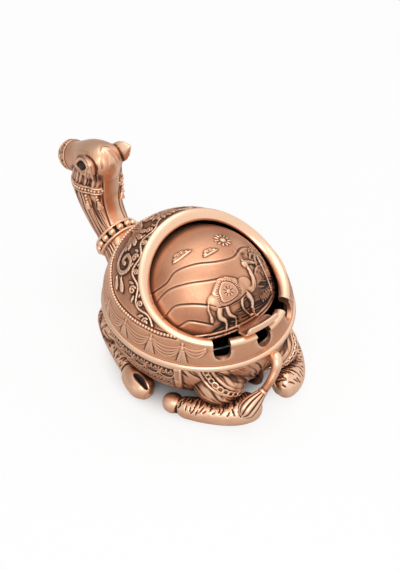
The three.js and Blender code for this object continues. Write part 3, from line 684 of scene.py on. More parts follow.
def string_tree(link):
    """A node tree that sets beads, or oval links, along a line that says which way it faces."""
    tree = bpy.data.node_groups.new("links_on_line" if link else "beads_on_line", "GeometryNodeTree")
    for way_through in ("INPUT", "OUTPUT"):
        tree.interface.new_socket("Geometry", in_out=way_through, socket_type="NodeSocketGeometry")
    for name in ("Spacing", "Radius"):
        tree.interface.new_socket(name, in_out="INPUT", socket_type="NodeSocketFloat")

    def add(kind, settings=None, **values):
        return node(tree, kind, settings, {key.replace("_", " "): value for key, value in values.items()})

    line, spacing, radius = (node(tree, "NodeGroupInput", output=name)
                             for name in ("Geometry", "Spacing", "Radius"))
    line = add("GeometryNodeMeshToCurve", Mesh=line)
    line = add("GeometryNodeResampleCurve", {"mode": "LENGTH"}, Curve=line, Length=spacing)
    facing = add("GeometryNodeInputNamedAttribute", {"data_type": "FLOAT_VECTOR"}, Name="facing")
    align = "FunctionNodeAlignRotationToVector"
    turn = add(align, {"axis": "X"}, Vector=add("GeometryNodeInputTangent"))
    turn = add(align, {"axis": "Z", "pivot_axis": "X"}, Rotation=turn, Vector=facing)
    if link:
        oval = add("GeometryNodeCurvePrimitiveCircle", Resolution=18, Radius=radius)
        oval = add("GeometryNodeTransform", Geometry=oval, Scale=(1.5, 1.0, 1.0))
        wire = add("GeometryNodeCurvePrimitiveCircle", Resolution=7, Radius=radius * 0.34)
        shape = add("GeometryNodeCurveToMesh", Curve=oval, Profile_Curve=wire)
    else:
        shape = add("GeometryNodeMeshIcoSphere", Radius=radius, Subdivisions=3)
    strung_line = add("GeometryNodeInstanceOnPoints", Points=line, Instance=shape, Rotation=turn)
    strung_line = add("GeometryNodeRealizeInstances", Geometry=strung_line)
    feed(tree, tree.nodes.new("NodeGroupOutput"), {0: strung_line})
    return tree


BEAD_TREE = string_tree(False)
LINK_TREE = string_tree(True)


def strung(line, facing, spacing, radius, link=False):
    """Beads or links along a line in millimetres, as a surface."""
    mesh = bpy.data.meshes.new("line")
    mesh.from_pydata((np.asarray(line, float) * MM).tolist(), [(k, k + 1) for k in range(len(line) - 1)], [])
    layer = mesh.attributes.new("facing", "FLOAT_VECTOR", "POINT")
    layer.data.foreach_set("vector", np.asarray(facing, np.float32).ravel())
    item = new_object("line", mesh)
    step = item.modifiers.new("strung", "NODES")
    step.node_group = LINK_TREE if link else BEAD_TREE
    given = {"Spacing": spacing * MM, "Radius": radius * MM}
    for socket in step.node_group.interface.items_tree:
        if socket.name in given:
            step[socket.identifier] = given[socket.name]
    return Surface.of_mesh(finished_mesh(item))


# Body

def belly_share(z):
    depth = np.clip((SEAM_Z - z) / BELLY_DEPTH, 0, 1)
    return (1 - depth ** BELLY_POWER) ** (1 / BELLY_POWER)


def muscle_reach(x, y, z, middle, half):
    """How far from the upright middle line a muscle reaches, towards the points x, y."""
    length = np.hypot(x, y)
    dx, dy = x / length, y / length
    (cx, cy, cz), (ax, ay, az) = middle, half
    cx = cx * np.sign(x)
    a = (dx / ax) ** 2 + (dy / ay) ** 2
    b = dx * cx / ax ** 2 + dy * cy / ay ** 2
    c = (cx / ax) ** 2 + (cy / ay) ** 2 + ((z - cz) / az) ** 2 - 1
    inside = b * b - a * c
    return np.where(inside > 0, (b + np.sqrt(np.maximum(inside, 0))) / a, 0)


def ellipse(turn, half):
    """Points of an oval at turns in radians from the tail, with its half width and half length."""
    return np.stack([half[0] * np.sin(turn), -half[1] * np.cos(turn)], -1)


def level_ring(half, z, steps=COLUMNS):
    return np.column_stack([ellipse(turns(steps), half), np.full(steps, z)])


def body_ring(z, share, offset, steps=COLUMNS):
    return level_ring(BODY_HALF * share + offset, z, steps)


def rim_offset(z):
    """The bead along the body's rim and the groove under it."""
    return RIM_BEAD * half_round(z - SEAM_Z + 1.6, 1.75) - 0.5 * hill(z - SEAM_Z + 3.9, 0.5)


def body_outline(turn, z):
    """Points of the body's outside at turns in radians and heights, muscles included."""
    flat = ellipse(turn, np.multiply.outer(BODY_HALF, belly_share(z)) + rim_offset(z))
    reach = np.hypot(flat[..., 0], flat[..., 1])
    grown = reach
    for middle, half in (THIGH, SHOULDER):
        grown = smooth_max(grown, muscle_reach(flat[..., 0], flat[..., 1], z, middle, half), MUSCLE_BLEND)
    return np.column_stack([flat * (grown / reach)[..., None], np.broadcast_to(z, grown.shape)])


def body_surface():
    rings = [body_ring(0.0, belly_share(0.0) * part, 0.0) for part in (0.04, 0.3, 0.55, 0.75, 0.9)]
    rings += [body_outline(turns(COLUMNS), z) for z in np.linspace(0.05, SEAM_Z, BODY_ROWS)]
    rings += [body_ring(SEAM_Z, 1.0, -0.6), body_ring(SEAM_Z, 1.0, -BODY_WALL + 0.5)]
    rings += [body_ring(z, belly_share(z), -BODY_WALL) for z in np.linspace(SEAM_Z - 0.4, FLOOR_Z + 0.6, 20)]
    rings += [body_ring(FLOOR_Z, belly_share(FLOOR_Z) * part, 0.0) for part in (0.93, 0.8, 0.6, 0.35, 0.05)]
    return Surface.grid(rings, fans=True)


# Drawn over the body as length round from the tail and height from the seam
BLANKET_REAR, BLANKET_FRONT = 46.4, 110.6
BLANKET_TOP, BLANKET_MIDDLE, BLANKET_FOOT = -4.4, -13.6, -21.8
BLANKET_BORDER = 3.0
SCROLLS = 7
STRAP_OUTER = spline([(37.4, -3.2), (35.6, -7.5), (33.8, -11.4), (29.3, -14.3), (23.8, -17.4),
                      (16.9, -21.1), (11, -24)], 8)
STRAP_INNER = spline([(30.5, -3.2), (28.6, -7.5), (25.6, -10.7), (20, -15.4), (15.6, -18.8),
                      (11.4, -21.9), (7, -25)], 8)


def blanket(work):
    """Saddle cloth over each flank: a frieze of scrolls over one of zigzags, in braided borders."""
    u, v = work.place.T
    rear, front, foot = BLANKET_REAR, BLANKET_FRONT, BLANKET_FOOT
    cloth = plateau(u, rear - 0.9, rear - 0.3, front + 0.3, front + 0.9)
    cloth *= plateau(v, foot - 0.9, foot - 0.3, -3.8, -3.2)
    field = cloth * plateau(u, rear + 2.6, rear + 3.4, front - 3.4, front - 2.6)
    for start in (rear, front - BLANKET_BORDER):
        for edge in (start, start + BLANKET_BORDER):
            work.ridge([(edge, foot), (edge, BLANKET_TOP)], 0.5, 0.45)
        for tick in np.arange(foot + 0.9, BLANKET_TOP, 1.55):
            work.ridge([(start + 0.4, tick - 0.35), (start + 2.6, tick + 0.35)], 0.5, 0.4)
    for edge in (BLANKET_TOP, BLANKET_MIDDLE, BLANKET_MIDDLE - 1.5, foot + 1.7, foot):
        work.ridge([(rear, edge), (front, edge)], 0.45, 0.42)
    first = rear + BLANKET_BORDER
    pitch = (front - rear - 2 * BLANKET_BORDER) / SCROLLS
    for k in range(SCROLLS):
        c = first + pitch * (k + 0.5)
        for sign in (-1, 1):
            stem = [(c, -12.6), (c + sign * 2.8, -11.6), (c + sign * 3.7, -8.8), (c + sign * 2.4, -6.2)]
            work.ridge(spline(stem, 6), 0.55, 0.5)
            work.ridge(curl((c + sign * 1.75, -8.2), 90 - 20 * sign, sign * -1.2, 1.7, 0.4), 0.5, 0.5)
        work.ridge([(c, -9.6), (c, -5.6)], 0.75, 0.5, leaf)
        if k < SCROLLS - 1:
            edge = c + pitch / 2
            work.ridge([(edge, -12.8), (edge, -5.0)], 0.75, 0.45, leaf)
    for k in range(2 * SCROLLS):
        c = first + pitch / 2 * k
        work.ridge([(c, -19.6), (c + pitch / 4, -15.8), (c + pitch / 2, -19.6)], 0.5, 0.48)
        work.knob((c + pitch / 4, -18.7), 0.8, 0.5)
        work.knob((c, -16.4), 0.7, 0.45)
    for c in np.arange(rear + 3.6, front - BLANKET_BORDER, 1.6):
        work.ridge([(c, foot + 0.3), (c + 0.5, foot + 1.4)], 0.42, 0.35)
    work.raised += 0.35 * cloth
    work.sunk += 0.25 * field
    work.tone += 0.18 * field


def crupper(work):
    """The strap over each side of the rump, its edges raised; the chain on it is strung later."""
    for line in (STRAP_OUTER, STRAP_INNER):
        work.ridge(line, 0.75, 0.6)
    at, gap, _ = work.near((STRAP_OUTER + STRAP_INNER) / 2, 2.6)
    channel = smoothstep(2.6, 2.0, gap)
    work.sunk[at] = np.maximum(work.sunk[at], 0.2 * channel)
    work.tone[at] += 0.3 * channel


def carve_body(body):
    x, y, z = body.points.T
    row = np.arange(len(x)) // COLUMNS - BELLY_ROWS
    outside = (row >= 0) & (row < BODY_ROWS) & (z < SEAM_Z - 2.6)
    u = np.degrees(np.arctan2(np.abs(x) / BODY_HALF[0], -y / BODY_HALF[1])) * DEGREE
    v = z - SEAM_Z
    work = Carving(np.column_stack([u, v]), outside)
    blanket(work)
    crupper(work)
    outer, inner = (np.interp(v, line[::-1, 1], line[::-1, 0]) for line in (STRAP_OUTER, STRAP_INNER))
    off_strap = smoothstep(0.6, 1.6, u - outer) + smoothstep(0.6, 1.6, inner - u)
    smooth_patch = hill(u - 12, 7) * hill(v + 9.5, 4.5)
    rump = smoothstep(BLANKET_REAR - 0.8, BLANKET_REAR - 2.2, u) * off_strap * (1 - 0.95 * smooth_patch)
    chest = smoothstep(BLANKET_FRONT + 0.8, BLANKET_FRONT + 2.2, u)
    belly = smoothstep(BLANKET_FOOT - 0.6, BLANKET_FOOT - 1.6, v) * (1 - chest) * (u > BLANKET_REAR - 2)
    strands = (rump * hair(0.69 * u - 0.72 * v, 0.72 * u + 0.69 * v, 11, 1.25, 7)
               + chest * hair(0.8 * u + 0.6 * v, 0.6 * u - 0.8 * v, 14, 1.7, 10)
               + belly * hair(0.5 * u - 0.86 * v, 0.86 * u + 0.5 * v, 17))
    strands *= plateau(z, 0.5, 4, SEAM_Z - 5.2, SEAM_Z - 3.6)
    body.raise_by((work.heights() - 0.36 * strands) * outside)
    # Painted shade: the body darkens from 17 mm down to 5 mm over the floor, where shade falls under it.
    body.tone = (work.tone + 0.16 * strands + 0.5 * smoothstep(17, 5, z)) * outside
    # Painted shade: the inside of the body, past its rim, a little darker.
    body.tone += 0.06 * (row >= BODY_ROWS + 2)


def chain_surface():
    """Oval links along the middle of the crupper strap, on both sides."""
    line = (STRAP_OUTER + STRAP_INNER) / 2
    z = SEAM_Z + line[:, 1]
    made = []
    for sign in (-1, 1):
        turn = sign * np.radians(line[:, 0] / DEGREE)
        place = body_outline(turn, z)
        facing = unit(np.cross(body_outline(turn + 0.01, z) - place, body_outline(turn, z + 0.3) - place))
        facing *= np.sign(dots(facing[:, :2], place[:, :2]))[:, None]
        keep = lengths(place) > 1.5
        made.append(strung((place + 0.15 * facing)[keep], facing[keep], *CHAIN_LINKS, link=True))
    return joined(made)


# Hood

def dome_value(p, inward):
    """Below 0 inside the hood's surface and above 0 outside it."""
    over = np.maximum(p[..., 2] - SEAM_Z - HOOD_BAND, 0)
    part = np.minimum(over / (HOOD_RISE - HOOD_BAND - inward), 1)
    share = (1 - part ** HOOD_POWER) ** (1 / HOOD_POWER)
    lean = HOOD_LEAN * over / (HOOD_RISE - HOOD_BAND)
    half_x, half_y = HOOD_HALF - inward
    return (p[..., 0] / half_x) ** 2 + ((p[..., 1] - lean) / half_y) ** 2 - share ** 2


def cast_to_dome(start, directions, inward):
    low = np.zeros(directions.shape[:-1])
    high = np.full(directions.shape[:-1], 4.0)
    for _ in range(30):
        middle = (low + high) / 2
        inside = dome_value(start + directions * middle[..., None], inward) < 0
        low = np.where(inside, middle, low)
        high = np.where(inside, high, middle)
    return start + directions * low[..., None]


def ring_edge(turn):
    """Outer edge of the smooth ring. Turn 0 is at the tail."""
    c1, c2 = np.cos(turn), np.cos(2 * turn)
    return np.stack([39.9 * np.sin(turn), -14.0 - 34.4 * c1 - 2.0 * c2,
                     SEAM_Z + 24.3 - 16.4 * c1 + 3.7 * c2], -1)


def ring_profile(turn):
    """Rows of points from the ring's outer foot over its round top to under its inner edge."""
    edge = ring_edge(turn)
    along = ring_edge(turn + 0.01) - ring_edge(turn - 0.01)
    inward = unit(np.stack([-along[:, 1], along[:, 0], np.zeros(len(turn))], -1))
    fall = 1.6 - 1.1 * np.cos(turn) + 0.3 * np.cos(2 * turn)
    across = np.array([-0.75, -0.72, -0.35, 0.5, 1.7, 3.0, 4.2, 4.85, 4.9, 4.75, 4.2, 2.6, 1.2])
    rise = np.array([-1.0, -0.3, 0.25, 0.75, 1.05, 1.0, 0.55, 0.0, -0.6, -1.5, -2.2, -2.6, -3.0])
    tilt = np.clip(across / RING_BAND, 0, 1)
    rows = []
    for out, up, share in spline(np.column_stack([across, rise, tilt]), 2):
        at = edge + inward * out
        at[:, 2] += up - fall * share
        if out > 2.5 or up < -1.1:
            arm = at - LID_CENTRE
            at = LID_CENTRE + arm * np.maximum(LID_CLEAR / np.linalg.norm(arm, axis=1, keepdims=True), 1)
        rows.append(at)
    return np.array(rows)


def hood_surface():
    apex = np.array([0.0, -8.0, SEAM_Z - 4])
    foot = level_ring(HOOD_HALF, SEAM_Z + HOOD_FOOT)
    inner_foot = level_ring(HOOD_HALF - HOOD_WALL, SEAM_Z + 2.2)
    profile = ring_profile(turns(COLUMNS))

    def between(start, end, count, inward):
        w = np.linspace(0, 1, count)[:, None, None]
        return cast_to_dome(apex, (start - apex) * (1 - w) + (end - apex) * w, inward)

    outside = between(foot, profile[0], HOOD_ROWS, 0.0)
    inside = between(profile[-1], inner_foot, 12, HOOD_WALL)
    lip = [body_ring(SEAM_Z + z, 1.0, offset) for z, offset in HOOD_LIP]
    return Surface.grid(np.concatenate([outside, profile, inside, lip]), wrap_rows=True)


# The bead line round the hood, as turn from the tail in degrees and rise over the seam
BEAD_LINE = spline([
    (57, 14.5), (60.5, 14.4), (67.4, 14.1), (76.8, 14.3), (85.5, 14.3), (95, 14.6), (103, 15), (111, 16),
    (119, 17.8), (126.5, 19.3), (134, 20.4), (142, 22), (150, 23.8), (160, 25.4), (170, 26.4), (180, 26.8),
], 8)
BEAD_START = BEAD_LINE[0, 0]


def bead_points():
    turn, rise = BEAD_LINE.T
    none = np.zeros(len(turn))
    outward = np.column_stack([ellipse(-np.radians(turn), HOOD_HALF), none])
    return cast_to_dome(np.column_stack([none, none, SEAM_Z + rise]), outward, 0.0)


def vine(work):
    """A running stem beside the ring, in lengths along the ring and away from it, with curls."""
    s = np.linspace(5, 71, 140)
    work.ridge(np.column_stack([s, 3.9 + 1.7 * np.cos(2 * np.pi * (s - 37.3) / 16)]), 0.62, 0.6)
    for s in (13.3, 29.3, 45.3, 61.3):
        work.ridge(curl((s + 0.6, 5.9), -100, -1.35, 2.1, 0.45), 0.55, 0.58)
        work.ridge([(s - 2.2, 4.6), (s - 3.6, 7.6)], 0.75, 0.5, leaf)
        work.ridge([(s + 3.4, 5.6), (s + 5.6, 8.2)], 0.75, 0.5, leaf)
    for s in (21.3, 37.3, 53.3):
        work.ridge(curl((s + 0.4, 3.4), 95, 1.3, 1.7, 0.4), 0.5, 0.52)
        work.ridge([(s - 2.6, 2.9), (s - 4.4, 1.6)], 0.6, 0.45, leaf)


def petals(work, centre, tips, half, height, vein):
    for tip in tips:
        work.ridge([centre, tip], half, height, drop)
        work.groove([centre, tip], vein + 0.05, vein, leaf)


def shoulder_scrolls(work):
    """The large scroll with its drops and the palmette on each shoulder of the hood."""
    scroll = spline([(25.2, 15.2), (24.6, 16.7), (28.7, 18.4), (32.9, 17.9), (36.5, 13.6), (35.6, 8.9),
                     (31.6, 8.2), (28.4, 12.0), (30.6, 14.4), (32.6, 12.2)], 8)
    work.ridge(scroll, 1.05, 0.85)
    work.groove(scroll, 0.35, 0.3)
    work.ridge([(36.9, 17.3), (43.0, 17.0)], 1.35, 0.75, drop)
    work.ridge([(38.3, 13.4), (45.2, 12.8)], 1.45, 0.8, drop)
    tips = ((25.6, 15.8), (25.8, 12.6), (23.4, 8.9), (19.2, 6.9), (14.6, 7.3))
    petals(work, (15.5, 17.0), tips, 1.55, 0.8, 0.3)
    work.knob((15.5, 17.0), 1.7, 0.85)
    for k in range(5):
        plume = [(4.0 + 1.6 * k, 27.0 - 0.4 * k), (7.5 + 1.5 * k, 21.5), (10.5 + 0.9 * k, 15.5 - 0.9 * k)]
        work.ridge(spline(plume, 8), 0.75, 0.7, fade)


def front_palmette(work):
    """Leaves and scrolls over the middle of the hood, behind the neck."""
    petals(work, (0.0, 13.0), ((0.0, 3.4), (3.4, 4.2), (6.0, 6.8), (7.2, 10.2)), 1.4, 0.75, 0.25)
    work.knob((0.0, 13.2), 1.8, 0.8)
    work.ridge(curl((5.2, 16.4), 150, 1.3, 3.0, 0.6), 0.8, 0.7)
    work.ridge(spline([(0.2, 14.5), (2.2, 19.6), (6.5, 20.6)], 8), 0.7, 0.6)
    work.ridge([(0.0, 17.0), (0.0, 23.0)], 1.4, 0.7, leaf)
    work.knob((10.4, 4.6), 1.0, 0.6)


def swags(work):
    """Draped cloth with tassels along the foot of the hood, over length round and rise."""
    def drape(start, end, steps, folds, sag, more, height):
        part = np.linspace(0, 1, steps)
        for j in range(folds):
            fall = (sag + more * j) * (1 - (2 * part - 1) ** 2)
            work.ridge(np.column_stack([start + (end - start) * part, 10.2 - 0.5 * j - fall]), 0.5, height)

    knots = [(52 + 19.7 * k) * DEGREE for k in range(7)]
    for u in knots:
        work.ridge([(u, 10.6), (u, 12.2)], 0.6, 0.35, leaf)
        work.knob((u, 9.6), 1.15, 0.5)
        work.ridge([(u - 1.3, 8.2), (u + 1.3, 8.2)], 0.55, 0.4)
        for k in range(-2, 3):
            work.ridge([(u + 0.45 * k, 7.9), (u + 1.02 * k, 1.9 + 0.18 * abs(k))], 0.5, 0.38)
        for sign in (-1, 1):
            work.groove([(u + 3.0 * sign, 2.6), (u + 1.3 * sign, 8.6)], 0.4, 0.16)
    for start, end in zip(knots, knots[1:] + [180 * DEGREE + 1.2]):
        drape(start + 1.2, end - 1.2, 14, 4, 1.3, 1.25, 0.26)
    drape(33.5, 44.2, 12, 3, 1.2, 1.2, 0.24)


def rest_frame(angle):
    """The ways across and out through a rest."""
    c, s = way(angle)
    return np.array([c, s, 0]), np.array([s, -c, 0])


def rest_cutter(angle):
    across, outward = rest_frame(angle)
    arc = np.linspace(np.pi, 2 * np.pi, 24)
    low = np.column_stack([REST_HALF * np.cos(arc), REST_HALF + REST_HALF * np.sin(arc)])
    flat = np.vstack([[REST_HALF, 40.0], [-REST_HALF, 40.0], low])
    base = np.outer(flat[:, 0], across)
    base[:, 2] = SEAM_Z + REST_FLOOR + flat[:, 1]
    return Surface.grid([base + outward * reach for reach in (36.0, 62.0)], fans=True)


def carve_hood(hood):
    x, y, z = hood.points.T
    row = np.arange(len(x)) // COLUMNS - HOOD_ROWS
    outside = row < 0
    left = on_left(hood.points[outside])
    ring = ring_edge(np.linspace(-np.pi, 0, 420))
    index, away = nearest(left, ring)
    chart = np.full((len(x), 2), FAR_OFF)
    chart[outside] = np.column_stack([lengths(ring)[index], away])
    s, off = chart.T
    turn = np.degrees(np.arctan2(np.abs(x) / HOOD_HALF[0], -y / HOOD_HALF[1]))
    rise = z - SEAM_Z
    over_line = rise - np.interp(turn, *BEAD_LINE.T)
    upper = Carving(chart, outside & ((over_line > 1.5) | (turn < BEAD_START)) & (off > 0.4))
    for draw in (vine, shoulder_scrolls, front_palmette):
        draw(upper)
    lower = Carving(np.column_stack([turn * DEGREE, rise]), outside & (over_line < -1.2) & (rise > 0.8))
    swags(lower)
    _, bead_gap = nearest(left, bead_points())
    groove = np.zeros(len(x))
    groove[outside] = hill(bead_gap - 1.25, 0.42) + 0.8 * (bead_gap < 1.2)
    groove *= turn > BEAD_START - 2
    ground = smoothstep(0.8, 2.2, over_line) * smoothstep(54, 62, turn) * outside
    rich = np.maximum(smoothstep(50, 20, s), smoothstep(9, 4, off) * smoothstep(74, 62, s))
    pits = 0.5 + 0.5 * lattice(s / 0.9, off / 0.9, 41)
    height = upper.heights() + 0.55 * lower.heights() - 0.3 * groove
    height -= 0.22 * ground * rich * (0.7 + 0.3 * pits)
    hood.raise_by(height * outside)
    # Painted shade: the inside of the hood, past its ring, is darker by 0.2.
    hood.tone = (0.22 * groove + 0.19 * ground * rich * (upper.raised < 0.12)
                 + 0.03 * ground - 0.03 * (lower.raised > 0.15)
                 - 0.13 * ((row >= 0) & (row < RING_ROWS)) + 0.2 * (row >= RING_ROWS + 2))


def pivot_rods(radius, start, end):
    """A rod on each side along the lid's axis, from a start to an end out from its middle."""
    return [rod(radius, LID_CENTRE + (s * start, 0, 0), LID_CENTRE + (s * end, 0, 0)) for s in (-1, 1)]


def darken_rests(hood):
    """A darker tone on the cut faces of the rests."""
    rise = hood.points[:, 2] - SEAM_Z - REST_FLOOR - REST_HALF
    for angle in REST_ANGLES:
        across, outward = rest_frame(angle)
        side, out = hood.points @ across, hood.points @ outward
        gap = np.where(rise > 0, np.abs(side), np.hypot(side, rise)) - REST_HALF
        hood.tone += 0.3 * (np.abs(gap) < 0.05) * (out > 30) * (out < 51.5)


# Lid

def lid_surface():
    low, high = math.radians(LID_FOOT_ANGLE), math.radians(LID_HIDDEN_ANGLE)
    outer = np.linspace(low, high, LID_ROWS)
    angle = np.concatenate([outer, np.linspace(high, low, LID_INNER_ROWS)])
    loops = []
    for side in np.radians(np.linspace(-85, 85, LID_COLUMNS)):
        lowered = LID_SINK * smoothstep(low, low + 0.02, outer) * np.cos(side) ** 0.5
        radius = np.concatenate([LID_RADIUS - lowered, np.full(LID_INNER_ROWS, LID_RADIUS - LID_WALL)])
        flat = radius * np.cos(side)
        loop = np.stack([radius * np.sin(side), -flat * np.cos(angle), flat * np.sin(angle)], -1)
        loops.append(loop + LID_CENTRE)
    return Surface.grid(loops, fans=True)


def lid_chart(points):
    """Flat coordinates over the lid, in millimetres from the middle of what shows of it."""
    c, s = way(LID_MIDDLE_ANGLE)
    arm = unit(points - LID_CENTRE)
    right, high, ahead = arm[:, 0], arm @ (0, s, c), arm @ (0, -c, s)
    flat = np.hypot(right, high)
    reach = LID_RADIUS * np.arctan2(flat, ahead) / np.maximum(flat, 1e-9)
    return right * reach, high * reach


DUNES = [
    [(-40, 13), (-30, 11.5), (-22, 13.5), (-12, 10.5), (-2, 5.5), (8, 3.5), (18, 6.5), (30, 4)],
    [(-40, 6.5), (-31, 7.5), (-22, 4.5), (-12, -0.5), (-4, -3.5)],
    [(-40, -3.5), (-33, -2), (-26, -5.5), (-19, -10.5), (-15, -14)],
    [(-38, -13), (-31, -13), (-25, -17.5), (-20, -22)],
    [(14, -9), (20, -5.5), (27, -7.5), (36, -12)],
]


def dunes(work):
    """Each dune stands over the ground behind it along a crisp crest."""
    p, q = work.place.T
    for line in DUNES:
        crest = spline(line, 8)
        start, end = crest[0, 0], crest[-1, 0]
        below = np.interp(p, *crest.T) - q
        slope = 0.38 * smoothstep(-0.2, 0.7, below) * np.exp(-np.maximum(below, 0) / 6.5)
        work.raised += slope * plateau(p, start - 1, start + 3, end - 4, end + 1)
        work.groove(crest + (0, 0.75), 0.5, 0.12, tone=0.1)


def sky(work):
    """A rayed sun and two drifts of cloud."""
    sun = np.array([11.0, 15.5])
    work.knob(sun, 1.9, 0.6)
    for k in range(11):
        ray = way(360 * k / 11)
        work.ridge([sun + 2.2 * ray, sun + 4.9 * ray], 0.55, 0.42, leaf)
    for x, y, size in ((-14.5, 20.0, 1.0), (-1.5, 12.4, 0.8)):
        for dx, dy, r in ((-3.4, -0.1, 1.5), (-1.2, 1.1, 2.1), (1.5, 0.9, 1.9), (3.7, -0.1, 1.4)):
            work.knob((x + dx * size, y + dy * size), r * size, 0.5)
        foot = y - 1.0 * size
        work.ridge([(x - 5.6 * size, foot), (x + 6.4 * size, foot)], 1.0 * size, 0.5, leaf)
        for dx, rounds in ((-1.3, 1.1), (1.6, -1.1)):
            work.groove(curl((x + dx * size, y + 0.9 * size), 250, rounds, 1.3 * size, 0.4), 0.32, 0.25)


def palm(work):
    """A palm at the right, with grass at its foot."""
    trunk = spline([(26.5, -24), (24.8, -16), (24.6, -8), (26.2, -0.5)], 8)
    work.ridge(trunk, 1.05, 0.75)
    for spot in trunk[:-1]:
        work.groove([spot - (1.0, 0.3), spot + (1.0, 0.5)], 0.3, 0.22)
    crown = np.array([26.2, 0.0])
    for angle, reach in ((15, 8.5), (55, 8), (95, 7.5), (135, 8), (170, 9), (205, 7), (-20, 7)):
        out = way(angle) * reach
        frond = spline([crown, crown + out * 0.55 + (0, 0.9), crown + out - (0, 2.4)], 8)
        work.ridge(frond, 1.15, 0.6, leaf)
        work.groove(frond, 0.3, 0.28)
    for k in range(9):
        base = np.array([14.0 + 2.2 * k, -24.5 + 0.35 * k])
        for lean in (-1.6, 0.2, 1.9):
            work.ridge([base, base + (lean, 5.2 - 0.7 * abs(lean))], 0.5, 0.5, fade)


# Lines of the walking camel, each with its half width, height and taper
CAMEL_LINES = [
    ([(-9.5, -14.5), (-10.0, -20.5), (-7.4, -24.4), (-9.0, -29.0)], 1.4, 0.6, fade),
    ([(0.6, -15.5), (-1.4, -21.0), (1.4, -26.6)], 1.1, 0.6, fade),
    ([(-13.6, -11.5), (-3.5, -12.4), (4.6, -11.8)], 5.0, 1.0, None),
    ([(-11.0, -8.4), (-6.3, -5.2), (-1.2, -8.2)], 3.6, 1.0, None),
    ([(3.2, -11.8), (8.0, -14.6), (11.6, -12.0), (12.2, -7.0), (12.2, -2.6)], 2.6, 0.95, fade),
    ([(11.6, -2.0), (14.4, -1.7), (18.6, -3.6)], 2.3, 0.95, fade),
    ([(12.0, -1.0), (11.2, 1.1)], 0.75, 0.7, leaf),
    ([(-12.6, -13.4), (-15.2, -19.4), (-13.2, -23.6), (-15.4, -29.6)], 2.1, 0.85, fade),
    ([(3.4, -14.0), (5.4, -20.4), (4.4, -24.0), (5.2, -28.6)], 1.9, 0.85, fade),
    ([(-15.0, -29.8), (-13.5, -30.0)], 1.0, 0.7, None),
    ([(-8.4, -29.2), (-6.9, -29.4)], 1.0, 0.7, None),
    ([(5.8, -28.8), (7.3, -29.0)], 1.0, 0.7, None),
    ([(2.0, -26.9), (3.5, -27.1)], 1.0, 0.7, None),
    ([(-17.0, -9.6), (-19.2, -13.2), (-19.4, -17.2)], 0.6, 0.6, None),
    ([(-19.3, -16.6), (-20.2, -20.4)], 1.15, 0.65, leaf),
]
CAMEL_CLOTH = spline([(-11.8, -7.0), (-6.4, -2.9), (-0.6, -6.6), (0.8, -13.6), (-5.6, -16.0),
                      (-12.4, -14.4), (-11.8, -7.0)], 8)


def walking_camel(work):
    """A walking camel under a fringed blanket."""
    for line, half, height, taper in CAMEL_LINES:
        work.ridge(spline(line, 6), half, height, taper)
    middle = np.array([-5.7, -9.8])
    arm, spot = CAMEL_CLOTH - middle, work.place - middle
    angle = np.mod(np.arctan2(arm[:, 1], arm[:, 0]), 2 * np.pi)
    order = np.argsort(angle)
    limit = np.interp(np.mod(np.arctan2(spot[:, 1], spot[:, 0]), 2 * np.pi), angle[order],
                      np.linalg.norm(arm, axis=1)[order], period=2 * np.pi)
    cloth = smoothstep(0.3, -0.4, np.linalg.norm(spot, axis=1) - limit)
    work.raised += cloth * (np.maximum(work.raised, 1.0) - work.raised)
    hem = middle + arm * 0.78
    work.groove(hem, 0.35, 0.3)
    for inner, outer in zip(hem[:-1], CAMEL_CLOTH[:-1]):
        work.groove([inner, outer], 0.3, 0.32)
    work.knob(middle, 2.3, 1.22)
    for k in range(8):
        work.groove([middle + 1.2 * way(45 * k), middle + 2.6 * way(45 * k)], 0.3, 0.25)
    for k in range(4):
        work.groove([(13.2 + 0.9 * k, -3.6), (13.4 + 0.9 * k, -0.6)], 0.25, 0.2)
    work.groove([(9.0, -15.5), (12.9, -11.0)], 0.35, 0.25)
    work.groove([(-13.6, -14.8), (-8.5, -16.4), (-2.5, -16.6), (3.2, -15.2)], 0.5, 0.3, tone=0.3)


def hatched_ground(work):
    """Dark ground under the camel, drawn in long level strokes."""
    p, q = work.place.T
    top = np.interp(p, [-30, -18, -6, 10, 20, 36], [-24, -22.5, -20.5, -16, -12, -15])
    ground = smoothstep(0.5, -1.5, q - top)
    strokes = hair(q + 0.10 * p, p - 0.1 * q, 71, 1.25, 12)
    rocks = smoothstep(9, 17, p + 0.4 * q) * smoothstep(9, 3, q) * (0.5 + 0.5 * lattice(p / 1.7, q / 1.7, 75))
    plain = work.raised < 0.5
    work.sunk += (0.24 * ground * strokes + 0.25 * rocks) * plain
    work.tone += (0.2 * ground + 0.22 * ground * strokes + 0.22 * rocks) * plain


def carve_lid(lid):
    index = np.arange(len(lid.points))
    outside = (index % (LID_ROWS + LID_INNER_ROWS) < LID_ROWS) & (index < len(index) - 2)
    p, q = lid_chart(lid.points)
    work = Carving(np.column_stack([p, q]), outside)
    for draw in (dunes, sky, palm, walking_camel, hatched_ground):
        draw(work)
    arm = lid.points - LID_CENTRE
    angle = np.arctan2(arm[:, 2], -arm[:, 1])
    from_edge = np.hypot(arm[:, 1], arm[:, 2]) * (angle - math.radians(LID_FOOT_ANGLE))
    for place in (0.9, 3.0):
        work.raised = np.maximum(work.raised, 0.85 * half_round(from_edge - place, 0.75))
    shown = smoothstep(math.radians(LID_PLAIN_ANGLE), math.radians(LID_PLAIN_ANGLE - 8), angle) * outside
    lid.raise_by(np.minimum(work.heights(), 1.15) * shown)
    # Painted shade: the lid darkens away from the middle of what shows of it, with a random mottle over all,
    # and its inside is painted darker.
    lid_edge_shade_and_mottle = 0.07 * smoothstep(10, 30, np.hypot(p + 4, q - 6)) + 0.05 * lattice(p / 9, q / 9, 77)
    lid.tone = work.tone * shown + lid_edge_shade_and_mottle * outside + 0.3 * ~outside


# Legs and tail, as rows of x, y, z, half width and half height

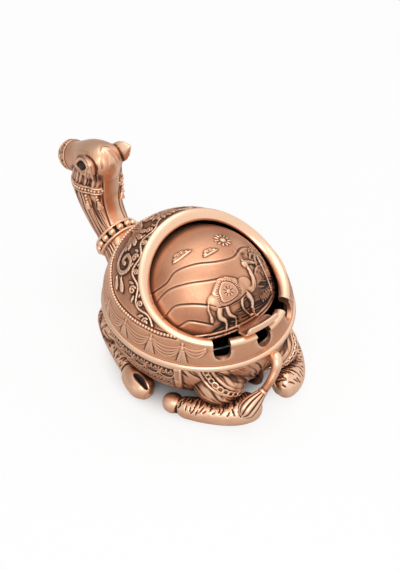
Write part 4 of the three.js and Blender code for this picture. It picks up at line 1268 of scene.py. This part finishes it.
HOOF = 6.5
HIND_ANKLE, FORE_ANKLE = 5, 6
HIND_LEG = [
    [-40.4, -21.0, 4.6, 1.4, 1.4], [-40.1, -22.0, 4.9, 3.6, 3.8], [-39.6, -23.6, 5.2, 5.0, 5.0],
    [-38.8, -25.8, 5.4, 5.6, 5.4], [-38.2, -27.6, 5.3, 5.2, 5.2], [-37.5, -29.4, 5.0, 4.4, 4.7],
    [-36.2, -32.0, 5.6, 5.7, 5.6], [-33.8, -35.8, 5.9, 6.4, 5.9], [-29.8, -41.4, 6.2, 7.0, 6.2],
    [-23.2, -48.8, 6.5, 7.6, 6.5], [-16.8, -53.2, 7.4, 8.2, 7.5], [-10.6, -55.0, 8.0, 7.4, 7.6],
    [-6.8, -55.2, 8.0, 3.5, 3.5],
]
FORE_LEG = [
    [-21.5, 50.4, HOOF, 3, 3], [-22.4, 48.6, HOOF + 0.6, 6.4, 6.6], [-24.4, 44.6, HOOF + 1, 8.4, 8],
    [-27.8, 38, HOOF + 0.8, 8.6, 8], [-32.4, 28.4, HOOF + 0.5, 7.8, 7.4], [-37.6, 13.6, HOOF, 6.8, 6.8],
    [-41, 6.6, HOOF - 0.6, 5.4, 5.4], [-42.4, 2.6, HOOF, 6.8, 6.6], [-44, -3.5, HOOF, 7.15, HOOF + 0.3],
    [-44.8, -9, HOOF - 0.3, 6.5, 6.2], [-45.4, -12.5, HOOF - 0.8, 4.2, 4], [-45.6, -14, HOOF - 1, 1.5, 1.5],
]
FORE_CLEFT = [(-45.4, -2.0, 13.1), (-45.6, -7.5, 12.5), (-45.4, -13.1, 9.4)]
TAIL = [
    [4.1, -50.4, 32.2, 3.3, 3.3], [4.2, -52.6, 32.4, 3.3, 3.3], [4, -55.4, 33.1, 3.3, 3.3],
    [2.7, -58, 32.1, 2.8, 2.8], [0.2, -59.4, 28.6, 2.3, 2.3], [-4.4, -60.4, 24.6, 2.1, 2.1],
    [-9.0, -60.9, 21.9, 2.2, 2.2], [-12.6, -60.9, 19.9, 3.6, 3.3], [-16.8, -60.9, 17.5, 4.9, 4.2],
    [-20.8, -60.9, 15.2, 4.8, 4.1], [-23.4, -60.9, 13.8, 2.0, 1.8],
]
HIND_SCREW = (20.0, -46.0)
FORE_SCREW = (26.0, 38.0)


def body_shade_mask(points):
    """1 where a point is close to the body's outside and 0 from 6 mm off it, as a mask for painted shade
    where a leg lies against the body.
    """
    x, y, z = points.T
    turn = np.arctan2(x / BODY_HALF[0], -y / BODY_HALF[1])
    wall = body_outline(turn, np.clip(z, 0.1, SEAM_Z - 6))
    return smoothstep(6.0, 0.5, np.hypot(x, y) - np.hypot(wall[:, 0], wall[:, 1]))


def fur(along, across, covered, seed):
    """Fine strokes down a leg from its inner edge, over lengths along and round it."""
    work = Carving(np.column_stack([along, across]))
    draw = np.random.default_rng(seed)
    for edge, reach, spacing in ((0, 5.5, 1.6), (6.5, 6.0, 1.05), (11, 4.8, 1.4), (16, 3.6, 2.1)):
        for place in np.arange(covered.min(), covered.max(), spacing):
            top = np.array([place + draw.uniform(-0.5, 0.5), edge + draw.uniform(-1.6, 1.6)])
            fall = (draw.uniform(-2.4, 0.5), reach * draw.uniform(0.6, 1.2))
            work.groove([top, top + fall], 0.44, 0.36, leaf, tone=0.26)
    return work


def leg_surface(stations, ankle, hoof_last, seed):
    """A folded leg: a smooth hoof, and a shank under long hair from the ankle's station on."""
    leg = limb(stations, LEG_AROUND, LEG_SPAN)
    along, across, share = ring_chart(leg, stations, LEG_AROUND, LEG_SPAN, 7.0)
    ankle_at = lengths(spline(stations, LEG_SPAN)[:, :3])[ankle * LEG_SPAN]
    shank = smoothstep(ankle_at - 0.5, ankle_at + 1.5, along)
    if hoof_last:
        shank = 1 - shank
    work = fur(along, across, along[shank > 0.9], seed)
    crease = hill(along - ankle_at, 0.75)
    leg.raise_by(work.heights() * shank - 0.6 * crease)
    leg.points[:, 2] = np.maximum(leg.points[:, 2], 0)
    # Painted shade: darker close to the body, along the leg's inner side under the thigh, and near the floor.
    near = body_shade_mask(leg.points)
    inner = smoothstep(13, 8, across) + 0.45 * smoothstep(17.5, 12, across)
    inner *= smoothstep(0.5, 3.0, along) * smoothstep(0.98, 0.9, share)
    leg.tone = (shank * work.tone + 0.4 * crease + np.maximum(0.6 * near, 0.45 * inner)
                + 0.25 * smoothstep(2.5, 0.2, leg.points[:, 2])
                - 0.06 * (1 - shank) * (1 - near) * (1 - crease))
    return leg


def bored(leg, screw):
    """A leg with the sink for its screw cut in from below."""
    x, y = screw
    return cut(leg, [rod(SINK_RADIUS, (-x, y, -1), (-x, y, SINK_DEPTH))])


def hoof_cleft(leg):
    work = Carving(leg.points)
    work.groove(spline(FORE_CLEFT, 8), 2.1, 1.2, leaf, tone=0.5)
    leg.raise_by(work.heights())
    leg.points[:, 2] = np.maximum(leg.points[:, 2], 0)
    leg.tone = leg.tone + work.tone


def tail_surface():
    tail = limb(TAIL, TAIL_AROUND, TAIL_SPAN)
    along, across, share = ring_chart(tail, TAIL, TAIL_AROUND, TAIL_SPAN, 3.6)
    tuft = smoothstep(0.58, 0.66, share)
    strands = (tuft * (0.5 + 0.5 * np.cos(across * 2 * np.pi / 2.26 + 0.6 * np.sin(along / 3)))) ** 2
    tail.raise_by(0.4 * hill(share - 0.6, 0.015) - 0.42 * strands)
    tail.tone = 0.3 * strands + (0.22 * hill(share - 0.5, 0.09) - 0.05) * (1 - tuft)
    return tail


# Neck and head, as rows of x, y, z, half width and half height

NECK = [
    [0, 45, 22, 13, 11], [0, 54, 23, 13.5, 11.5], [0, 62, 27.5, 12, 11], [0, 67.5, 33, 10.8, 10.4],
    [0, 72, 38.6, 10, 10], [0, 77, 44, 10.6, 10.4], [0, 81, 49.5, 11.2, 11.2],
    [0, 84.5, 56.5, 12, 13], [0, 86.6, 64, 12.6, 14.4], [0, 86.4, 71, 12.2, 14.2], [0, 84, 79, 11, 11.5],
]
HEAD = [
    [0, 69.5, 83, 3, 3.5], [0, 71.5, 82.8, 7, 7.4], [0, 75.2, 82.3, 10.6, 10.6], [0, 80.4, 81.3, 12.0, 11.6],
    [0, 87.6, 79.1, 11.6, 11.6], [0, 94, 76.5, 9.4, 10.6], [0, 101, 73.9, 7.8, 9.2], [0, 107, 71.9, 7.8, 8.8],
    [0, 111.2, 70.3, 7.6, 8], [0, 113.9, 69.3, 5.6, 5.8], [0, 114.9, 68.9, 2.4, 2.6],
]
NAPE = [[0, 75.4, 84, 7.5, 4.4], [0, 76.0, 80, 9.4, 5.4], [0, 76.7, 75, 10.2, 5.8], [0, 77.5, 69, 10.4, 5.8],
        [0, 78.4, 63, 10.4, 5.6], [0, 79.4, 58, 9.0, 4.6]]
EAR = [
    [-7.0, 79.6, 83.0, 1.0, 3.4], [-8.2, 78.2, 84.5, 1.9, 5.6], [-9.8, 76.4, 86.2, 2.4, 6.2],
    [-11.4, 74.6, 87.9, 2.1, 5.1], [-12.9, 72.9, 89.4, 1.3, 2.9], [-13.9, 71.8, 90.4, 0.4, 0.6],
]
EAR_THICK = 0.95
SKIN_VOXEL = 0.45
SKIN_ROUNDS = 7
EYE = (-11.9, 83.6, 82.4)
BEHIND_EAR = (-7.2, 73.4, 78.8)
MUZZLE = np.array([0, 107.4, 72])
SNOUT = np.array([0, 0.935, -0.355])      # the way the head points
SNOUT_UP = np.array([0, 0.355, 0.935])
CHEEK_STRAP = [
    (0, 99.5, 64.4), (-5, 98.5, 65.0), (-9.5, 94.8, 66.0), (-12.2, 89.8, 66.8), (-12.4, 84.9, 67.6),
    (-10.7, 79.6, 68.5), (-8, 75.9, 69.2), (-5.4, 74.2, 69.5),
]
NOSTRIL = [(-4.6, 112.6, 74.4), (-6.2, 111.2, 75.2), (-6.9, 109.9, 74.0)]
MOUTH = [(-2, 115, 68.2), (-6.0, 113.2, 68.6), (-7.6, 110.4, 69.3)]
NAPE_EDGE = [(-5.6, 71.9, 80), (-5.6, 72.4, 74), (-5.6, 73.4, 66), (-5.4, 72.6, 58), (-5.2, 69.6, 50),
             (-5.0, 66.6, 44)]
TASSELS = (((-11.6, 80.8, 64.6), (-11.4, 79.3, 57.0)), ((-8.1, 75.6, 65.6), (-7.2, 73.6, 57.2)))


def ear_surface():
    """A cupped ear, hollow towards the front and outside."""
    rows = spline(EAR, 6)
    turn = turns(44)
    rings = []
    for row, forward in zip(rows, unit(np.gradient(rows[:, :3], axis=0))):
        side = unit(SIDE - forward * forward[0])
        up = np.cross(forward, side)
        bulge = row[3] * np.cos(turn) ** 2 + EAR_THICK * np.cos(turn)
        rings.append(row[:3] + np.outer(bulge - row[3] * 0.5, side) + np.outer(np.sin(turn) * row[4], up))
    return Surface.grid(rings, fans=True)


def wall_middle():
    """A solid as large as the middle of the body's wall, which the neck stops at."""
    return Surface.grid([body_ring(z, belly_share(z), -1.2, 90) for z in (0.5, 4, 9, 15, 22, 30, SEAM_Z)],
                        fans=True)


def snapped(line, points):
    """A line laid on the nearest points of a surface, evened out."""
    index, _ = nearest(np.asarray(line, float), points)
    laid = points[index]
    for _ in range(2):
        laid[1:-1] = 0.25 * laid[:-2] + 0.5 * laid[1:-1] + 0.25 * laid[2:]
    return laid


def eye(work, skin):
    """A large dark eye in an almond rim, under a heavy brow with lashes."""
    middle = snapped([EYE], skin)[0]
    spot = work.place - middle
    a, b = spot @ SNOUT, spot @ SNOUT_UP
    near = spot[:, 0] < 5
    high = np.where(b > 0, 3.0, 2.4)
    reach = (np.abs(a / 4.6) ** 1.6 + np.abs(b / high) ** 1.6) ** (1 / 1.6)
    ball = half_round(np.hypot(a / 3.0, b / 2.6), 1)
    work.sunk += 0.7 * (hill(a, 6.4) * hill(b, 4.8) + smoothstep(1.15, 0.85, reach)) * near
    work.raised = np.maximum(work.raised, np.maximum(1.2 * ball, 0.5 * hill(reach - 1.15, 0.11)) * near)
    work.tone += 0.9 * smoothstep(1.25, 0.75, reach) * near

    def over(across, up):
        return middle + across * SNOUT + up * SNOUT_UP

    brow = [over(*spot) for spot in ((-5.4, 1.6), (-3.2, 3.9), (0.4, 4.6), (3.6, 3.6), (5.6, 1.4))]
    work.ridge(snapped(spline(brow, 6), skin), 0.9, 0.4)
    for across in -4.6 + 1.35 * np.arange(8):
        up = 5.9 - 0.09 * (across - 0.4) ** 2
        lash = np.linspace(over(across, up), over(across - 1.4, up + 2.9), 5)
        work.groove(snapped(lash, skin), 0.45, 0.3, leaf, tone=0.3)


def carve_head(skin):
    """Halter, hair, eyes and muzzle on the grown skin of neck and head."""
    left = on_left(skin.points)
    x, y, z = left.T
    work = Carving(left)
    strap = spline(CHEEK_STRAP, 6)
    for offset in (-1.8, 1.8):
        work.ridge(snapped(strap + (0, 0, offset), left), 0.6, 0.6)
    eye(work, left)
    # Painted shadow behind the near ear, sunk and darkened on both sides.
    shade = hill(np.linalg.norm(left - BEHIND_EAR, axis=1), 3.4)
    work.sunk += 0.5 * shade
    work.tone += 0.35 * shade
    ahead = (left - MUZZLE) @ SNOUT
    for place in (-2.0, 2.0):
        work.raised = np.maximum(work.raised, 0.5 * half_round(ahead - place, 0.6) * (y > 95))
    for angle in range(-60, 91, 30):
        c, s = way(angle)
        spot = snapped([MUZZLE + (-8.0 * c, 0, 0) + SNOUT_UP * 9 * s], left)
        work.groove([spot[0], spot[0]], 0.85, 0.45, tone=0.4)
    for line, half, depth, tone in ((NOSTRIL, 0.8, 0.8, 0.5), (NAPE_EDGE, 0.9, 0.4, 0.12)):
        work.groove(snapped(spline(line, 6), left), half, depth, leaf, tone)
    work.groove(snapped(spline(MOUTH, 6), left), 0.65, 0.6, tone=0.45)

    along, across = limb_chart(left, NECK, 11.0)
    off_middle = smoothstep(5.2, 6.6, np.abs(x))
    beside_nape = np.clip(off_middle + (skin.normals()[:, 1] > 0.1), 0, 1)
    order = np.argsort(strap[:, 1])
    over_strap = z - np.interp(y, strap[order, 1], strap[order, 2])
    throat = smoothstep(2.3, 3.4, -over_strap) * smoothstep(107, 104, y) * beside_nape
    top = 77.0 + 4.5 * smoothstep(82, 78, y)
    cheek = smoothstep(2.2, 3.4, over_strap) * smoothstep(top + 1, top - 1, z) * smoothstep(98, 91, y)
    crown = smoothstep(83.5, 85.5, z) * smoothstep(81.5, 77.5, y) * smoothstep(9.6, 8.4, np.abs(x))
    strands = (throat * hair(across, along, 21, 1.15, 16)
               + 0.6 * cheek * off_middle * hair(y + 0.25 * z, z, 24, 1.0, 9)
               + 0.38 * crown * hair(0.8 * np.abs(x) + 0.6 * y, y - 0.6 * np.abs(x), 29, 1.15, 6))
    forelock = hill(y - 74.5, 4.0) * hill(x, 5.5) * smoothstep(84, 88, z)
    skin.raise_by(work.heights() - 0.4 * strands + 0.25 * forelock)
    skin.tone = (work.tone + 0.14 * strands + 0.05 * throat
                 - 0.2 * (1 - beside_nape) * smoothstep(84, 81, z)
                 - 0.08 * smoothstep(80, 84, z) * (1 - crown))


def neck_surface():
    ear = ear_surface()
    parts = [limb(NECK, 72, 6), limb(HEAD, 72, 5), limb(NAPE, 60, 5), ear, mirrored(ear)]
    skin = remeshed(parts, SKIN_VOXEL, SKIN_ROUNDS)
    x, y, z = skin.points.T
    band = smoothstep(10.5, 8.0, np.abs(x)) * plateau(z, 46, 52, 80, 83) * smoothstep(84, 79, y)
    top = smoothstep(8.5, 6.5, np.abs(x)) * smoothstep(80, 83, z) * smoothstep(92, 86, y)
    skin.points += (skin.smoothed(40) - skin.points) * np.maximum(band, top)[:, None]
    carve_head(skin)
    skin.points[:, 2] = np.minimum(skin.points[:, 2], cad_high[2] / MM - 0.1)
    return cut(skin, [wall_middle()])


def halter_beads(skin):
    """Beads along the cheek strap and the tassels that hang from it, on both sides."""
    left = skin.points[skin.points[:, 0] < 0.3]
    line = snapped(spline(CHEEK_STRAP, 10), left)
    made = [strung(line, line - (0, 86, 70), *HALTER_BEADS)]
    for ends in TASSELS:
        top, foot = snapped(ends, left)
        down = unit(foot - top)
        out = 0.5 * unit(np.array([top[0], top[1] - 86, 0]))
        top = top + out
        made.append(strung([top, top + down * 4.0], [out, out], *TASSEL_BEADS))
        bell = lathe([(0, 0), (0.7, 0.1), (1.1, 0.8), (1.3, 2.0), (1.9, 3.2), (1.9, 3.5), (0, 3.4)], 20)
        made.append(turned_towards(bell, top + down * 4.4, top + down * 5.4))
    one = joined(made)
    return joined([one, mirrored(one)])


def collar_line(turn, inset=0.0):
    """Points round the collar's oval at turns in radians, and the way out from its middle at each."""
    across = np.outer(np.cos(turn), SIDE)
    up = np.outer(np.sin(turn), [0, math.sin(COLLAR_TILT), -math.cos(COLLAR_TILT)])
    half_x, half_y = COLLAR_HALF
    return COLLAR_CENTRE + across * (half_x - inset) + up * (half_y - inset), across + up


def collar_surface():
    """A band with a dark channel between two round rims, oval and aslant round the neck."""
    axis = np.array([0, math.cos(COLLAR_TILT), math.sin(COLLAR_TILT)])
    half, rim = COLLAR_WIDTH / 2, COLLAR_RIM
    arc = np.linspace(np.pi, 0, 11)
    lower = np.column_stack([rim * np.sin(arc) * 0.95 - 0.25, -half + rim + rim * np.cos(arc)])
    lower = np.vstack([[(-1.6, -half)], lower, [(-0.75, -half + 2 * rim + 0.25)]])
    outline = np.vstack([lower, (lower * (1, -1))[::-1]])
    base, out = collar_line(turns(180))
    rings = base[:, None] + outline[:, :1] * out[:, None] + outline[:, 1:] * axis
    made = Surface.grid(rings, wrap_rows=True)
    made.tone = 0.34 * (np.abs((made.points - COLLAR_CENTRE) @ axis) < half - 2 * rim)
    return made


def collar_beads():
    line, out = collar_line(np.linspace(0, 2 * np.pi, 121), 0.1)
    return strung(line[:-1], out[:-1], lengths(line)[-1] / COLLAR_BEADS, COLLAR_BEAD_RADIUS)


# Lid fittings and fire bowl

def lid_ears():
    """The two flat ears that the lid hangs on, bored for the pivot screws."""
    made = []
    for sign in (-1, 1):
        start = LID_CENTRE + (sign * (LID_RADIUS - LID_EAR_THICK), 0, 0)
        end = LID_CENTRE + (sign * LID_RADIUS, 0, 0)
        bore = rod(PIVOT_BORE, start - (sign, 0, 0), end + (sign, 0, 0))
        made.append(cut(rod(LID_EAR_RADIUS, start, end, 48), [bore]))
    return joined(made)


def tab_surface():
    """A tongue behind the lid's edge, a plate out over the ring and an upturned lip."""
    face = LID_RADIUS - LID_WALL - 0.3
    back = face - 1.2
    top = SEAM_Z + 11.6
    out = BODY_HALF[1] - 3.3

    def flat(angle, radius):
        c, s = way(angle)
        return radius * c, LID_CENTRE[2] + radius * s

    x, z = flat(LID_TAB_ANGLE, LID_RADIUS)
    tongue = (26, 21, LID_TAB_ANGLE)
    upper = spline([flat(angle, face) for angle in tongue] + [
        (x - 1.2, z - 0.95), (x + 0.5, z - 0.5), (out - 7.9, top + 0.8), (out - 4.9, top + 1.5),
        (out - 2.4, top + 2.6), (out - 0.9, top + 4.5), (out - 0.4, top + 7.2)], 4)
    lower = spline([flat(angle, back) for angle in tongue] + [
        (x - 2.3, z - 2.1), (x + 0.5, z - 1.8), (out - 7.9, top - 0.4), (out - 4.9, top + 0.4),
        (out - 1.9, top + 1.25), (out + 0.8, top + 4.4), (out + 0.7, top + 7.2)], 4)
    middle = (upper + lower) / 2
    wide = 7.2 + 3.1 * smoothstep(x + 0.5, x + 5.0, middle[:, 0])
    wide = wide - 1.6 * np.clip((middle[:, 1] - top - 5.2) / 2.2, 0, 1) ** 2
    wide = np.concatenate([wide, wide[::-1]])
    rings = []
    for part in np.linspace(-1, 1, 73):
        thick = math.sqrt(max(1 - (max(abs(part) - 0.93, 0) / 0.07) ** 2, 0)) * 0.75 + 0.25
        faces = [middle + (upper - middle) * thick, (middle + (lower - middle) * thick)[::-1]]
        reach, height = np.vstack(faces).T
        behind = LID_CENTRE[1] - np.sqrt(reach ** 2 - (wide * part) ** 2)
        rings.append(np.stack([wide * part, behind, height], -1))
    return Surface.grid(rings, ladders=True)


def bowl_surface():
    foot = FLOOR_Z + 0.3
    outside = spline([(20, 0), (22.4, 1.4), (26.9, 9.5), (30.4, 19), (31.8, 25.5), (32, 27)], 5)
    bead = [(32.7, 27.4), (33, 28), (32.6, 28.5), (31.6, 28.5), (30.9, 28)]
    inside = spline([(30.8, 27), (30.6, 25.5), (29.2, 19), (25.7, 9.5), (21.2, 2.4), (18.6, 1.2)], 5)
    made = lathe([(0, 0), (19.4, 0), *outside, *bead, *inside, (0, 1.2)], 160)
    made.points += (0, LID_CENTRE[1], foot)
    return made


# The pieces

def build_body():
    body = body_surface()
    carve_body(body)
    add_piece("bowl_body", body, "body", "body_shell")
    add_piece("crupper_chain", chain_surface(), "body")


def build_hood():
    hood = hood_surface()
    carve_hood(hood)
    hood = cut(hood, pivot_rods(PIVOT_BOSS, *PIVOT_BOSS_REACH), "UNION")
    bores = pivot_rods(PIVOT_BORE, *PIVOT_BORE_REACH)
    hood = cut(hood, [rest_cutter(angle) for angle in REST_ANGLES] + bores)
    darken_rests(hood)
    add_piece("hood", hood, "hood", "hood_shell")
    line = bead_points()
    line = np.vstack([line[:-1], (line * (-1, 1, 1))[::-1]])
    add_piece("hood_beads", strung(line, line - (0, 0, 50), *HOOD_BEADS), "hood")


def build_lid():
    lid = lid_surface()
    carve_lid(lid)
    add_piece("lid", lid, "lid", "rolling_lid")
    add_piece("lid_ears", lid_ears(), "lid")
    add_piece("lid_tab", tab_surface(), "lid", "thumb_tab")


def build_limbs():
    hind = bored(leg_surface(HIND_LEG, HIND_ANKLE, False, 31), HIND_SCREW)
    fore = bored(leg_surface(FORE_LEG, FORE_ANKLE, True, 35), FORE_SCREW)
    hoof_cleft(fore)
    for name, left in (("hind", hind), ("fore", fore)):
        add_piece(f"{name}_leg_l", left, "body", f"{name}_leg_left")
        add_piece(f"{name}_leg_r", mirrored(left), "body", f"{name}_leg_right")
    add_piece("tail_cast", tail_surface(), "body", "tail")


def build_neck():
    neck = neck_surface()
    add_piece("neck_cast", neck, "body", "neck_and_head")
    add_piece("halter_beads", halter_beads(neck), "body")
    add_piece("collar", collar_surface(), "body", "neck_collar")
    add_piece("collar_beads", collar_beads(), "body")


build_body()
build_hood()
build_lid()
build_limbs()
build_neck()
add_piece("ash_bowl", bowl_surface(), "bowl", "fire_bowl", material=STEEL, slot="bowl_steel")

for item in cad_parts.values():
    item.data.materials.clear()
    item.data.materials.append(COPPER if item.name.startswith("tab_rivet") else STEEL)


# Stage, lights and camera

def build_stage():
    """A white sweep whose floor is lit white for the camera, and left in shadow under the piece."""
    size, back, rise, bend = 1.6, 1.1, 1.3, 0.3
    rows = [(-size, 0.0)]
    rows += [(back + bend * math.sin(turn), bend * (1 - math.cos(turn)))
             for turn in np.linspace(0, math.pi / 2, 13)]
    rows.append((back + bend, rise))
    points = [(side * 2.2, y, z) for y, z in rows for side in (-1, 1)]
    mesh = bpy.data.meshes.new("floor")
    mesh.from_pydata(points, [], [(2 * k, 2 * k + 1, 2 * k + 3, 2 * k + 2) for k in range(len(rows) - 1)])
    mesh.shade_smooth()
    material, tree = new_material("white_sweep")
    tree.nodes.remove(tree.nodes["Principled BSDF"])
    diffuse = node(tree, "ShaderNodeBsdfDiffuse", values={"Color": (0.86, 0.86, 0.86, 1)})
    white = node(tree, "ShaderNodeEmission", values={"Color": (1, 1, 1, 1), "Strength": 1.06})
    place = node(tree, "ShaderNodeTexCoord", output="Object")
    reach = node(tree, "ShaderNodeVectorMath", {"operation": "LENGTH"}, {0: place}, "Value")
    clear = node(tree, "ShaderNodeMapRange", {"interpolation_type": "SMOOTHSTEP"},
                 {"Value": reach, "From Min": 0.034, "From Max": 0.056, "To Max": 0.78})
    seen = node(tree, "ShaderNodeLightPath", output="Is Camera Ray")
    mixed = node(tree, "ShaderNodeMixShader", values={"Fac": seen * clear, 1: diffuse, 2: white})
    feed(tree, tree.nodes["Material Output"], {"Surface": mixed})
    mesh.materials.append(material)
    new_object("floor", mesh)


def build_world():
    """Even white light, and white behind what the camera sees directly or by reflection."""
    world = bpy.data.worlds.new("studio")
    bpy.context.scene.world = world
    world.use_nodes = True
    tree = world.node_tree
    seen = node(tree, "ShaderNodeLightPath", output="Is Camera Ray")
    for ray in ("Is Glossy Ray", "Is Transmission Ray"):
        seen = seen.math("MAXIMUM", seen, node(tree, "ShaderNodeLightPath", output=ray))
    strength = node(tree, "ShaderNodeMix", values={"Factor": seen, "A": 0.55, "B": 1.0})
    feed(tree, tree.nodes["Background"], {"Color": (1, 1, 1, 1), "Strength": strength})


def add_light(name, place, side, power):
    """A square lamp that shines on the piece."""
    light = bpy.data.lights.new(name, "AREA")
    light.shape = "RECTANGLE"
    light.size = light.size_y = side
    light.energy = power
    item = new_object(name, light)
    item.location = place
    item.rotation_euler = (Vector((0, 0, 0.05)) - Vector(place)).to_track_quat("-Z", "Y").to_euler()


def build_camera():
    """The photograph's view, turned and raised about the middle of the seam."""
    azimuth, elevation, distance = math.radians(-40.5), math.radians(41.8), 0.6
    shift_right, shift_up = 0.00109, 0.0067
    back = Vector((math.sin(azimuth) * math.cos(elevation), -math.cos(azimuth) * math.cos(elevation),
                   math.sin(elevation)))
    right = Vector((math.cos(azimuth), math.sin(azimuth), 0))
    up = back.cross(right)
    data = bpy.data.cameras.new("photo_camera")
    data.sensor_width = 36.0
    data.lens = 71.9
    data.clip_start = 0.02
    camera = new_object("photo_camera", data)
    place = Vector((0, 0, SEAM_Z * MM)) + back * distance + right * shift_right + up * shift_up
    camera.matrix_world = Matrix.Translation(place) @ Matrix((right, up, back)).transposed().to_4x4()
    bpy.context.scene.camera = camera


build_stage()
build_world()
add_light("window", (-0.5, -0.5, 0.75), 0.5, 2.1)
add_light("top", (0.15, 0.1, 0.9), 0.7, 2.0)
build_camera()
bpy.context.scene.view_settings.view_transform = "Standard"
